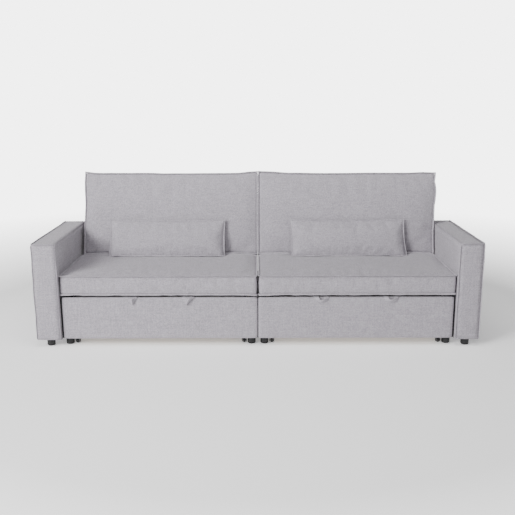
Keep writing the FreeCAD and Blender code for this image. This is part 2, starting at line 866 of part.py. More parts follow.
def make_trundle_pad(side):
    """The mattress pad that the trundle brings out."""
    crown = value("pad_crown")
    size = (
        value(TRUNDLE_WIDTH), value(f"{TRUNDLE_BACK} - {TRUNDLE_FRONT} - fit_gap"),
        value(f"pad_top - pad_crown - {TRUNDLE_SLAT_TOP} - fit_gap"),
    )
    shape = cushion_shape(*size, (0, 0, crown, 0))
    pad = formed(f"{side}_trundle_pad", shape)
    move(
        pad, trundle_place(side, "inner", 0, TRUNDLE_WIDTH),
        depth(f"{TRUNDLE_FRONT} + fit_gap"), f"{TRUNDLE_SLAT_TOP} + fit_gap",
    )
    part(f"{side}_trundle_pad", pad)


# Casters

CASTERS = {
    "front_inner": ("inner", "caster_front_setback"),
    "front_outer": ("outer", "caster_front_setback"),
    "rear_inner": ("inner", "caster_back_setback"),
    "rear_outer": ("outer", "caster_back_setback"),
}
CHEEK = "((caster_width - wheel_width) / 2 - wheel_side_gap)"


def caster_place(side, edge, setback, width):
    """The lower X and the Y of a caster piece of this width, centred on its wheel."""
    x = f"{edge_place(side, edge, 'caster_inset')} - ({width}) / 2"
    return x, depth(setback)


def make_caster_forks(side):
    """Four fixed forks under the trundle: a plate and two rounded cheeks each."""
    forks = []
    for place, (edge, setback) in CASTERS.items():
        name = f"{side}_fork_{place}"
        x, y = caster_place(side, edge, setback, "caster_width")
        pieces = [block(
            f"{name}_plate", x, f"{y} - caster_length / 2", "panel_bottom - caster_plate",
            "caster_width", "caster_length", "caster_plate",
        )]
        for index, offset in enumerate(("0", f"(caster_width - {CHEEK})"), start=1):
            cheek_x = f"{x} + {offset}"
            pieces.append(block(
                f"{name}_cheek_{index}", cheek_x, f"{y} - caster_cheek_radius", WHEEL_HEIGHT,
                CHEEK, "2 * caster_cheek_radius", f"panel_bottom - {WHEEL_HEIGHT}",
            ))
            round_end = cylinder(
                f"{name}_round_{index}", "2 * caster_cheek_radius", CHEEK, axis="X"
            )
            pieces.append(move(round_end, cheek_x, y, WHEEL_HEIGHT))
        bore = cylinder(
            f"{name}_bore", "axle_diameter + 2 * axle_clearance", "caster_width", axis="X"
        )
        move(bore, x, y, WHEEL_HEIGHT)
        forks.append(cut(name, join(f"{name}_solid", pieces), bore))
    part(f"{side}_caster_forks", group(f"{side}_caster_forks", forks))


def make_caster_axles(side):
    """The headed pins that the wheels turn on."""
    axles = []
    for place, (edge, setback) in CASTERS.items():
        name = f"{side}_axle_{place}"
        x, y = caster_place(side, edge, setback, "caster_width")
        shank = cylinder(f"{name}_shank", "axle_diameter", "caster_width", axis="X")
        pieces = [move(shank, x, y, WHEEL_HEIGHT)]
        ends = (f"{x} - axle_head_length", f"{x} + caster_width")
        for index, head_x in enumerate(ends, start=1):
            head = cylinder(
                f"{name}_head_{index}", "axle_head_diameter", "axle_head_length", axis="X"
            )
            pieces.append(move(head, head_x, y, WHEEL_HEIGHT))
        axles.append(join(name, pieces))
    part(f"{side}_caster_axles", group(f"{side}_caster_axles", axles))


def wheel_body():
    """A small wheel about the X axis with a rounded rim and a bore."""
    disc = cylinder("wheel_disc", "wheel_diameter", "wheel_width", axis="X")
    doc.recompute()
    rim = doc.addObject("Part::Fillet", "wheel_rim")
    rim.Base = disc
    radius = value("wheel_rim_round")
    rim.Edges = [
        (index, radius, radius)
        for index, edge in enumerate(disc.Shape.Edges, start=1) if edge.Closed
    ]
    bore = cylinder(
        "wheel_bore", "axle_diameter + 2 * axle_clearance", "wheel_width", axis="X"
    )
    return cut("wheel", rim, bore)


def make_wheels(side, wheel):
    """Four separate wheels, one in each fork."""
    for place, (edge, setback) in CASTERS.items():
        label = f"{side}_wheel_{place}"
        copy = doc.addObject("App::Link", f"{label}_copy")
        copy.LinkedObject = wheel
        x, y = caster_place(side, edge, setback, "wheel_width")
        part(label, group(label, [move(copy, x, y, WHEEL_HEIGHT)]))


# Pull tabs

def arc_face(width, drop):
    """A face between the line z = 0 and an arc that drops below it."""
    left = Vector(-width / 2, 0, 0)
    right = Vector(width / 2, 0, 0)
    arc = Part.Arc(left, Vector(0, 0, -drop), right).toShape()
    return Part.Face(Part.Wire([arc, Part.LineSegment(right, left).toShape()]))


def pointed_face(direction):
    """The face of a strap folded to a point that leans to the middle of the module."""
    half = value("left_tab_width / 2")
    left = Vector(-half, 0, 0)
    right = Vector(half, 0, 0)
    tip = Vector(-direction * value("left_tab_skew"), 0, -value("left_tab_drop"))
    return Part.Face(Part.makePolygon([left, tip, right, left]))


def rounded_face(direction):
    """The face of a strap that hangs in a shallow round loop."""
    loop = arc_face(value("right_tab_width"), value("right_tab_drop"))
    return loop.cut(arc_face(value("right_tab_hole_width"), value("right_tab_hole_drop")))


TAB_FACES = {"left": pointed_face, "right": rounded_face}


def make_tabs(side):
    """Two straps that hang over the front panel's upper edge, to pull the trundle out."""
    half = value(f"{side}_tab_width / 2")
    strap = value("tab_strap")
    thickness = value("tab_thickness")
    tongues = [
        Part.makeBox(strap, value("tab_tongue"), thickness, Vector(x, 0, 0))
        for x in (-half, half - strap)
    ]
    middle = across(side, f"(panel_near + {PANEL_FAR}) / 2")
    tabs = []
    for direction in (-1, 1):
        hanging = TAB_FACES[side](direction).extrude(Vector(0, thickness, 0))
        tab = formed(
            f"{side}_pull_tab_{'left' if direction < 0 else 'right'}",
            hanging.fuse(tongues).removeSplitter(),
        )
        x = f"{middle} + {direction} * {side}_tab_offset"
        move(tab, x, depth("panel_front - fit_gap - tab_thickness"), "panel_top + fit_gap")
        tabs.append(tab)
    part(f"{side}_pull_tabs", group(f"{side}_pull_tabs", tabs))


def make_module(side, foot, wheel):
    """One seat module with its trundle and its folding back."""
    make_base(side, foot)
    make_seat_cushion(side)
    make_back_panel(side)
    make_back_cushion(side)
    make_hinge_brackets(side)
    make_hinge_arms(side)
    make_pillow(side)
    make_trundle_front(side)
    make_trundle_frame(side)
    make_trundle_slats(side)
    make_trundle_pad(side)
    make_caster_forks(side)
    make_caster_axles(side)
    make_wheels(side, wheel)
    make_tabs(side)


def check(parts):
    """Stop where an object failed or a sub-part has no sound shape."""
    for obj in doc.Objects:
        if {"Invalid", "Error"} & set(obj.State):
            raise RuntimeError(f"{obj.Name} failed: {obj.State}")
    for obj in parts:
        if obj.Shape.isNull() or not obj.Shape.isValid() or not obj.Shape.Solids:
            raise RuntimeError(f"{obj.Label} has no sound shape")


foot = foot_body()
wheel = wheel_body()
for side in SIDES:
    make_arm(side, foot)
    make_module(side, foot, wheel)
make_clip()
doc.recompute()
check(PARTS)

os.makedirs("parts", exist_ok=True)
for obj in PARTS:
    obj.Shape.exportStep(f"parts/{obj.Label}.step")
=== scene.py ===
"""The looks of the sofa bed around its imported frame: fabric, cushions, hardware, floor and light.

Metres, in the frame's own axes: +X along the sofa, +Y to its back, +Z up.
"""

import json
import math

import bmesh
import bpy
import numpy as np
from mathutils import Matrix, Vector


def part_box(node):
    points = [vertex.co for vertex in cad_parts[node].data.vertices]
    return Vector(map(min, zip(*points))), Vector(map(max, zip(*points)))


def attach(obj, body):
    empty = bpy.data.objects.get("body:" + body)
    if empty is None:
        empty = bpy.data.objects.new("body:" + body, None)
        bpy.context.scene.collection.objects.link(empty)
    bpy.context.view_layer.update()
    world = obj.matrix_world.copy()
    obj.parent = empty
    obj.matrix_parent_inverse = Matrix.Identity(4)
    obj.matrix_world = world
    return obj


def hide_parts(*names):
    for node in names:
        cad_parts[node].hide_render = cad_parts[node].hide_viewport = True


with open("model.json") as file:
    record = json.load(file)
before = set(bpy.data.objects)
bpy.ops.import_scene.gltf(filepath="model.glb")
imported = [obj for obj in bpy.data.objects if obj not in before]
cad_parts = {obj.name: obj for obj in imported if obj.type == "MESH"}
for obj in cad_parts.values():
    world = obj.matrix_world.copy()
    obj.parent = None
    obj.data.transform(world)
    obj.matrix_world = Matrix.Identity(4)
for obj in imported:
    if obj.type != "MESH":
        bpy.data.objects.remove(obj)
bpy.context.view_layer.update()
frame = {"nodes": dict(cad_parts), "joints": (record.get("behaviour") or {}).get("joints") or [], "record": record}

SIDES = {"left": -1, "right": 1}
MM = 0.001
EDGE = 0.001              # shares this near to nothing or to one lie on a face
TINY = 1e-9               # a length that counts as none

# Where the random forms of each kind of piece start, and the step to its right one
SEEDS = {"seat": 11, "back": 31, "pillow": 51, "arm": 71, "pad": 91}
SEED_STEP = 7


# Places and sizes

# The back leans by the angle that its fold lacks to a right angle
fold = next(joint for joint in frame["joints"] if joint["name"] == "left_back_fold")
RECLINE = math.radians(90 - fold["range_deg"][1])

FLANGE = 0.008            # how far a sewn lip stands out
FLANGE_THICKNESS = 0.0026
CAMERA_PLACE = (-0.00194, -4.53914, 1.49154)
CAMERA_PITCH = math.radians(12.895)
CAMERA_ROLL = math.radians(-0.134)
LENS_MM = 50
SENSOR_MM = 36


# Small helpers

def seed_of(kind, side):
    """The seed of the random forms of a side's piece."""
    return SEEDS[kind] + SEED_STEP * list(SIDES).index(side)


def show(name, data):
    """An object in the scene for a mesh, a light or a camera."""
    thing = bpy.data.objects.new(name, data)
    bpy.context.scene.collection.objects.link(thing)
    return thing


def shade_smooth(mesh):
    """Shade all faces of a mesh smooth."""
    for polygon in mesh.polygons:
        polygon.use_smooth = True


def mesh_piece(name, points, faces):
    """A smooth mesh object of points and faces."""
    mesh = bpy.data.meshes.new(name)
    mesh.from_pydata([tuple(point) for point in points], [], faces)
    mesh.validate()
    mesh.update()
    shade_smooth(mesh)
    return show(name, mesh)


def read_points(mesh):
    """A mesh's points as rows of X, Y and Z."""
    points = np.empty(len(mesh.vertices) * 3)
    mesh.vertices.foreach_get("co", points)
    return points.reshape(-1, 3)


def dress(piece, material, slot, body, *nodes):
    """Give a piece its material and its body, and hide the CAD nodes that it stands for; the slot is not used."""
    piece.data.materials.clear()
    piece.data.materials.append(material)
    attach(piece, body)
    if nodes:
        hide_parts(*nodes)


def join_meshes(name, parts):
    """One mesh object of several, which keep their own corners."""
    graph = bmesh.new()
    for part in parts:
        graph.from_mesh(part.data)
        bpy.data.objects.remove(part)
    mesh = bpy.data.meshes.new(name)
    graph.to_mesh(mesh)
    graph.free()
    shade_smooth(mesh)
    return show(name, mesh)


def surface_lattice(counts):
    """The lattice points and the outward quads on the surface of a box of counts cells."""
    places = {}

    def at(*place):
        return places.setdefault(place, len(places))

    faces = []
    for axis in range(3):
        first, second = (axis + 1) % 3, (axis + 2) % 3
        for a in range(counts[first]):
            for b in range(counts[second]):
                for level in (0, counts[axis]):
                    ring = []
                    for step_a, step_b in ((0, 0), (1, 0), (1, 1), (0, 1)):
                        place = [0, 0, 0]
                        place[axis], place[first], place[second] = level, a + step_a, b + step_b
                        ring.append(at(*place))
                    faces.append(ring if level else ring[::-1])
    return np.array(list(places), float), faces


def noise_field(seed, count, low, high):
    """A smooth random field: a sum of sine waves whose lengths lie between low and high."""
    random = np.random.default_rng(seed)
    waves = random.normal(size=(count, 3))
    waves /= np.linalg.norm(waves, axis=1)[:, None]
    waves *= (2 * math.pi / random.uniform(low, high, count))[:, None]
    phases = random.uniform(0, 2 * math.pi, count)

    def field(points):
        return np.sin(points @ waves.T + phases).mean(axis=1) * math.sqrt(count)

    return field


# Materials

def combine(tree, operation, *sources):
    """The result of a sum on numbers and node outputs."""
    node = tree.nodes.new("ShaderNodeMath")
    node.operation = operation
    for socket, source in zip(node.inputs, sources):
        if isinstance(source, (int, float)):
            socket.default_value = source
        else:
            tree.links.new(source, socket)
    return node.outputs[0]


class Nodes:
    """A material's node tree, with a short call for each kind of node that it needs."""

    def __init__(self, name):
        self.material = bpy.data.materials.new(name)
        self.material.use_nodes = True
        self.tree = self.material.node_tree
        self.tree.nodes.clear()
        self.shader = self.add("ShaderNodeBsdfPrincipled")
        output = self.add("ShaderNodeOutputMaterial")
        self.link(self.shader.outputs["BSDF"], output.inputs["Surface"])
        self.place = self.add("ShaderNodeTexCoord").outputs["Object"]

    def add(self, kind, **settings):
        node = self.tree.nodes.new(kind)
        for key, setting in settings.items():
            setattr(node, key, setting)
        return node

    def link(self, source, target):
        self.tree.links.new(source, target)

    def math(self, operation, *sources):
        return combine(self.tree, operation, *sources)

    def noise(self, scale, detail=3.0, roughness=0.5, stretch=(1, 1, 1)):
        mapping = self.add("ShaderNodeMapping")
        mapping.inputs["Scale"].default_value = stretch
        self.link(self.place, mapping.inputs["Vector"])
        node = self.add("ShaderNodeTexNoise")
        node.inputs["Scale"].default_value = scale
        node.inputs["Detail"].default_value = detail
        node.inputs["Roughness"].default_value = roughness
        self.link(mapping.outputs[0], node.inputs["Vector"])
        return node.outputs["Fac"]

    def ramp(self, source, *stops):
        node = self.add("ShaderNodeValToRGB")
        elements = node.color_ramp.elements
        while len(elements) < len(stops):
            elements.new(1)
        for element, (place, colour) in zip(elements, stops):
            element.position = place
            element.color = (*colour, 1)
        self.link(source, node.inputs["Fac"])
        return node.outputs["Color"]

    def mix(self, factor, first, second, blend="MIX"):
        node = self.add("ShaderNodeMix", data_type="RGBA", blend_type=blend)
        for index, source in ((0, factor), (6, first), (7, second)):
            socket = node.inputs[index]
            if isinstance(source, (int, float)):
                socket.default_value = source
            elif isinstance(source, tuple):
                socket.default_value = (*source, 1)
            else:
                self.link(source, socket)
        return node.outputs[2]

    def bump(self, height, distance, strength=1.0, below=None):
        node = self.add("ShaderNodeBump")
        node.inputs["Strength"].default_value = strength
        node.inputs["Distance"].default_value = distance
        self.link(height, node.inputs["Height"])
        if below is not None:
            self.link(below, node.inputs["Normal"])
        return node.outputs["Normal"]

    def finish(self, colour, normal=None, **constants):
        if isinstance(colour, tuple):
            self.shader.inputs["Base Color"].default_value = (*colour, 1)
        else:
            self.link(colour, self.shader.inputs["Base Color"])
        if normal is not None:
            self.link(normal, self.shader.inputs["Normal"])
        for key, constant in constants.items():
            self.shader.inputs[key.replace("_", " ")].default_value = constant
        return self.material


def weave_height(nodes, pitch):
    """A plain weave on faces of any direction: threads over and under, one pitch apart."""
    split = nodes.add("ShaderNodeSeparateXYZ")
    nodes.link(nodes.place, split.inputs[0])
    waves = [
        nodes.math("SINE", nodes.math("MULTIPLY", split.outputs[index], 2 * math.pi / pitch))
        for index in range(3)
    ]
    normal = nodes.add("ShaderNodeSeparateXYZ")
    nodes.link(nodes.add("ShaderNodeNewGeometry").outputs["Normal"], normal.inputs[0])
    total = None
    for axis, (first, second) in enumerate(((1, 2), (0, 2), (0, 1))):
        facing = nodes.math("MULTIPLY", normal.outputs[axis], normal.outputs[axis])
        crossing = nodes.math("MULTIPLY", waves[first], waves[second])
        share = nodes.math("MULTIPLY", facing, crossing)
        total = share if total is None else nodes.math("ADD", total, share)
    return nodes.math("MULTIPLY_ADD", total, 0.5)


def woven(name, colour, pitch=0.0016, contrast=0.22, cloudy=0.05, streaks=0.20):
    """A woven furnishing fabric: threads of two tones, slubs and a soft unevenness."""
    nodes = Nodes(name)
    weave = weave_height(nodes, pitch)
    slubs = nodes.noise(scale=420, detail=2)
    clouds = nodes.noise(scale=22, detail=4, roughness=0.6)
    runs = None
    for axis in range(3):
        stretch = tuple(0.07 if index == axis else 1 for index in range(3))
        run = nodes.noise(scale=210, detail=1, stretch=stretch)
        runs = run if runs is None else nodes.math("ADD", runs, run)
    runs = nodes.math("MULTIPLY", runs, 1 / 3)
    dark = tuple(tone * (1 - contrast) for tone in colour)
    light = tuple(min(tone * (1 + contrast), 1) for tone in colour)
    threads = nodes.ramp(slubs, (0.3, dark), (0.7, light))
    mottles = nodes.noise(scale=130, detail=2)
    tone = threads
    layers = ((runs, 0.12, streaks), (mottles, 0.14, streaks), (clouds, 0.15, cloudy))
    for source, margin, depth in layers:
        shade = nodes.ramp(source, (0.5 - margin, (1 - depth,) * 3), (0.5 + margin, (1, 1, 1)))
        tone = nodes.mix(1.0, tone, shade, blend="MULTIPLY")
    soft = nodes.bump(clouds, 0.002, 0.25)
    fine = nodes.bump(nodes.math("ADD", slubs, runs), 0.0006, 0.5, below=soft)
    normal = nodes.bump(weave, 0.0003, 0.8, below=fine)
    return nodes.finish(
        tone, normal, Roughness=0.93, Sheen_Weight=0.2, Sheen_Roughness=0.45,
        Specular_IOR_Level=0.2,
    )


def grained(name, light, dark, along, gloss=0.45):
    """Timber whose grain runs along an axis."""
    nodes = Nodes(name)
    stretch = tuple(0.06 if index == along else 1 for index in range(3))
    grain = nodes.noise(scale=90, detail=6, roughness=0.62, stretch=stretch)
    pores = nodes.noise(scale=600, detail=2, stretch=stretch)
    tone = nodes.ramp(grain, (0.32, dark), (0.68, light))
    poured = nodes.mix(0.25, tone, nodes.ramp(pores, (0.4, dark), (0.6, light)))
    normal = nodes.bump(pores, 0.0003, 0.5, below=nodes.bump(grain, 0.0006, 0.4))
    return nodes.finish(poured, normal, Roughness=gloss, Specular_IOR_Level=0.35)


def moulded(name, colour, gloss, mottled=0.15, grain=520):
    """Moulded plastic or painted metal: a fine orange-peel grain."""
    nodes = Nodes(name)
    peel = nodes.noise(scale=grain, detail=2)
    wear = nodes.noise(scale=30, detail=4)
    dark = tuple(tone * (1 - mottled) for tone in colour)
    tone = nodes.ramp(wear, (0.3, dark), (0.7, colour))
    rough = nodes.ramp(wear, (0.3, (gloss,) * 3), (0.7, (gloss + 0.12,) * 3))
    nodes.link(rough, nodes.shader.inputs["Roughness"])
    normal = nodes.bump(peel, 0.0002, 0.35)
    return nodes.finish(tone, normal, Specular_IOR_Level=0.4)


FABRIC = woven("upholstery", (0.417, 0.391, 0.433))
PAD_FABRIC = woven("pad_ticking", (0.68, 0.67, 0.66), pitch=0.0009, contrast=0.05, streaks=0.05)
TIMBER = grained("frame_timber", (0.60, 0.52, 0.42), (0.45, 0.37, 0.28), along=0, gloss=0.65)
PLYWOOD = grained("slat_plywood", (0.72, 0.55, 0.36), (0.58, 0.41, 0.24), along=0)
DARK_BOARD = moulded("base_board", (0.035, 0.033, 0.036), 0.62)
# A near-black cloth: painted shade where the deck and the arm's underside show in dark gaps
SHADE_LINING = woven("shade_cloth", (0.012, 0.012, 0.013), pitch=0.0011, contrast=0.2)
PLASTIC = moulded("foot_plastic", (0.009, 0.009, 0.010), 0.42)
STEEL = moulded("painted_steel", (0.07, 0.07, 0.075), 0.38, mottled=0.1, grain=800)

NODE_MATERIALS = {
    "upholstery_fabric": FABRIC,
    "pad_cover": PAD_FABRIC,
    "frame_timber": TIMBER,
    "slat_plywood": PLYWOOD,
    "base_board": DARK_BOARD,
    "foot_plastic": PLASTIC,
    "steel": STEEL,
}
for entry in frame["record"]["subparts"]:
    node = frame["nodes"][entry["node"]]
    node.data.materials.clear()
    node.data.materials.append(NODE_MATERIALS[entry["material_slot"]])

# The seat's deck and the arm's underside are covered in a dust cloth, made near black as painted shade for the
# gaps where they show
for side in SIDES:
    for name in ("seat_deck", "arm_bottom_board"):
        frame["nodes"][f"{side}_{name}"].data.materials[0] = SHADE_LINING


# Soft forms

PUCKER_WAVES = (18, 0.022, 0.085)  # how many waves a seam's gathers add up, and their lengths
PUCKER_START = 0.012      # nearer to the seam than this, they fade out again
SIDE_PUCKER = (0.0008, 0.03)       # how deep they are on the narrow faces, and their reach
LIP_WAVES = (12, 0.03, 0.20)
LIP_WIDTH_SHARE = 0.12    # how much a lip's width varies
LIP_SWAY = 0.0012         # and how far its edge sways

# Round a lip: shares of its width from its seam, and of half its thickness
LIP_PROFILE = ((-0.4, 0.9), (0.4, 1), (0.86, 0.85), (1, 0.35),
               (1, -0.35), (0.86, -0.85), (0.4, -1), (-0.4, -0.9))
DIAGONAL = 0.99           # a way out with no share above this is a corner's
FACING = 0.5              # and one with a share above this faces that side


def perimeter(counts, axis, level):
    """The lattice places round the box, in order, at one level of an axis."""
    first, second = (axis + 1) % 3, (axis + 2) % 3
    ring = [(a, 0) for a in range(counts[first])]
    ring += [(counts[first], b) for b in range(counts[second])]
    ring += [(a, counts[second]) for a in range(counts[first], 0, -1)]
    ring += [(0, b) for b in range(counts[second], 0, -1)]
    places = []
    for a, b in ring:
        place = [0, 0, 0]
        place[axis], place[first], place[second] = level, a, b
        places.append(tuple(place))
    return places


def seam_rings(lattice, counts, axis, levels):
    """The numbers of the lattice points along the seams of the given levels."""
    number_of = {tuple(int(value) for value in place): i for i, place in enumerate(lattice)}
    return [[number_of[place] for place in perimeter(counts, axis, level)] for level in levels]


def simulate(piece, pinned, pressure, slack, cap, frames=20):
    """Let the fabric settle under its filling's pressure; no point moves further than cap."""
    start = read_points(piece.data)
    seams = piece.vertex_groups.new(name="seams")
    seams.add([int(index) for index in pinned], 1.0, "REPLACE")
    cloth = piece.modifiers.new("fabric", "CLOTH")
    settings = cloth.settings
    settings.quality = 6
    settings.mass = 0.3
    settings.tension_stiffness = 18
    settings.compression_stiffness = 18
    settings.shear_stiffness = 9
    settings.bending_stiffness = 1.2
    settings.use_pressure = True
    settings.uniform_pressure_force = pressure
    settings.shrink_min = -slack
    settings.effector_weights.gravity = 0
    settings.vertex_group_mass = "seams"
    cloth.collision_settings.use_collision = False
    scene = bpy.context.scene
    for step in range(1, frames + 1):
        scene.frame_set(step)
    settled = read_points(piece.evaluated_get(bpy.context.evaluated_depsgraph_get()).data)
    piece.modifiers.remove(cloth)
    piece.vertex_groups.clear()
    scene.frame_set(1)
    travel = settled - start
    length = np.linalg.norm(travel, axis=1)
    travel *= np.minimum(1, cap / np.maximum(length, TINY))[:, None]
    return start + travel


def set_points(piece, points):
    """Move a mesh's points."""
    piece.data.vertices.foreach_set("co", np.ascontiguousarray(points, float).ravel())
    piece.data.update()


def round_off(piece, levels=1):
    """Subdivide a piece, make its modifiers part of its mesh and shade it smooth."""
    rounder = piece.modifiers.new("round", "SUBSURF")
    rounder.levels = rounder.render_levels = levels
    depsgraph = bpy.context.evaluated_depsgraph_get()
    rounded = bpy.data.meshes.new_from_object(piece.evaluated_get(depsgraph))
    old = piece.data
    piece.modifiers.clear()
    piece.data = rounded
    bpy.data.meshes.remove(old)
    shade_smooth(rounded)
    return piece


def swell(share, power=0.5):
    """How full a face is at a share of its length: nothing at its seams, one in the middle."""
    return np.sin(np.pi * np.clip(share, 0, 1)) ** power


def crown(first, second):
    """How full a face is between its four seams: steep beside them and gently domed within."""
    steep = swell(first, 0.45) * swell(second, 0.45)
    domed = swell(first, 1.1) * swell(second, 0.9)
    return 0.55 * steep + 0.45 * domed


def pucker(seed, points, distance, depth, reach=0.05):
    """The small gathers that a seam pulls into the cloth beside it."""
    ripple = noise_field(seed, *PUCKER_WAVES)(points)
    fade = np.exp(-distance / reach) * np.clip(distance / PUCKER_START, 0, 1)
    return depth * ripple * fade


def lip(name, roots, outward, across, reach, thickness, seed, closed=True):
    """A sewn lip along a seam: a thin rounded band that stands out from the seam's points."""
    ripple = noise_field(seed, *LIP_WAVES)(roots)
    width = np.broadcast_to(reach, len(roots)) * (1 + LIP_WIDTH_SHARE * ripple)
    lean = across * (LIP_SWAY * ripple)[:, None]
    half = across * thickness / 2
    rows = [
        roots + outward * (share * width)[:, None] + half * full + lean * share
        for share, full in LIP_PROFILE
    ]
    count = len(roots)
    points = np.concatenate(rows)
    faces = []
    for row in range(len(rows)):
        following = (row + 1) % len(rows)
        for index in range(count if closed else count - 1):
            after = (index + 1) % count
            faces.append((
                row * count + index, row * count + after,
                following * count + after, following * count + index,
            ))
    return mesh_piece(name, points, faces)


def edge_directions(counts, axis):
    """For the places of a perimeter, the way out of the box, diagonal at the corners."""
    first, second = (axis + 1) % 3, (axis + 2) % 3
    outward = []
    for place in perimeter(counts, axis, 0):
        direction = np.zeros(3)
        for way in (first, second):
            if place[way] in (0, counts[way]):
                direction[way] = 1 if place[way] else -1
        outward.append(direction / np.linalg.norm(direction))
    return np.array(outward)


def soft_box(name, size, spacing, shape, axis, lips, seed, pressure, slack, cap):
    """A boxed cushion in its own frame, with a sewn lip round both faces of an axis.

    shape moves lattice points (shares of the size) to places. lips gives each face's lip as a
    function of its outward directions: (direction, across, reach).
    """
    counts = [max(2, round(length / spacing)) for length in size]
    lattice, faces = surface_lattice(counts)
    points = shape(lattice / counts)
    body = mesh_piece(name, points, faces)
    rings = seam_rings(lattice, counts, axis, (0, counts[axis]))
    points = simulate(body, rings[0] + rings[1], pressure, slack, cap)
    set_points(body, points)
    round_off(body)
    outward = edge_directions(counts, axis)
    bands = []
    for number, (ring, make) in enumerate(zip(rings, lips)):
        direction, across, reach = make(outward)
        bands.append(lip(
            f"{name}_lip_{number}", points[ring], direction, across, reach,
            FLANGE_THICKNESS, seed + number,
        ))
    return join_meshes(name, [body] + bands)


def tilted_lip(axis, sign, rise, reach=FLANGE, corner=1.5):
    """A lip that leans by its rise from the plane of its seam, longer at the corners."""
    def make(outward):
        normal = np.zeros(3)
        normal[axis] = sign
        spread = math.sqrt(1 - rise ** 2)
        direction = outward * spread + normal * rise
        across = normal * spread - outward * rise
        diagonal = np.abs(outward).max(axis=1) < DIAGONAL
        return direction, across, np.where(diagonal, reach * corner, reach)

    return make


def place_piece(piece, matrix):
    """Move a mesh from its own frame to the sofa's."""
    piece.data.transform(matrix)
    piece.data.update()


def profile(table, shares):
    """Values in millimetres along a table of shares, in metres."""
    places, depths = zip(*table)
    return np.interp(shares, places, depths) * MM


def seam_distance(shares, size, first, second):
    """How far points lie from the nearest of a face's four seams."""
    near = np.minimum(shares, 1 - shares) * size
    return np.minimum(near[:, first], near[:, second])


# Seat cushions

SEAT_SPACING = 0.017
SEAT_INSET = ((0.0055, 0.0065, 0.003), (0.0055, 0.0065, 0.0025))   # its seams from its box's corners
SEAT_SINK = 0.006         # how far its top lies below its solid's fullest point, before the crown
SEAT_CROWN = 0.011
SEAT_BULGE = 0.003        # how far its rear and its ends bulge
SEAT_FRONT_BULGE = 0.0035
SEAT_DROOP = 0.0045       # how far its foot hangs at the front, beside the other cushion
SEAT_RISE = 0.023         # how far the rear of its top swells up between the corners
SEAT_UNEVEN = 0.16        # the share by which its crown varies
SEAT_PUCKER = 0.0013
SEAT_LIP = 0.011
PILLOW_HOLLOW = 0.355     # half the width of the hollow that the lumbar pillow presses in it
HOLLOW_EDGE = 0.04        # over which the hollow fades out
PRESSED_SHARE = 0.8       # how much of the swelling the pillow takes away

# The left cushion's short creases: their places along X, and a share of their depth
SEAT_CREASES = ((-0.675, 0.030), (-0.642, 0.036), (-0.604, 0.026))
CREASE_DEPTH = 0.055
CREASE_WIDTH = 0.011
CREASE_LENGTH = 0.07
CREASE_MIDDLE = 0.20      # from the cushion's front
CREASE_SLANT = 0.25


def seat_upper_lip(outward):
    """The upper lip: it reaches out further along the front, where it stands up, and the rear."""
    direction, across, reach = tilted_lip(2, 1, 0.30)(outward)
    steep, steep_across, longer = tilted_lip(2, 1, 0.48, SEAT_LIP, 1)(outward)
    front = outward[:, 1] < -FACING
    direction[front] = steep[front]
    across[front] = steep_across[front]
    reach[front] = longer[front]
    reach[outward[:, 1] > DIAGONAL] = SEAT_LIP
    return direction, across, reach


def seat_lower_lip(outward):
    """The lower lip: it hangs over the platform's front edge and lies flat elsewhere."""
    front = outward[:, 1] < -FACING
    direction = outward.copy()
    direction[front] = outward[front] * 0.62 + np.array([0, 0, -0.78])
    across = np.zeros_like(outward)
    across[:, 2] = -1
    across[front] = outward[front] * -0.78 + np.array([0, 0, -0.62])
    return direction, across, np.full(len(outward), FLANGE)


def rear_rise(side, across, places):
    """How far the seat's rear swells up at places along X, less where the pillow presses it."""
    low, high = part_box(f"{side}_lumbar_pillow")
    aside = np.abs(places - (low[0] + high[0]) / 2)
    pressed = np.clip((PILLOW_HOLLOW + HOLLOW_EDGE - aside) / HOLLOW_EDGE, 0, 1)
    return SEAT_RISE * swell(across, 0.3), pressed


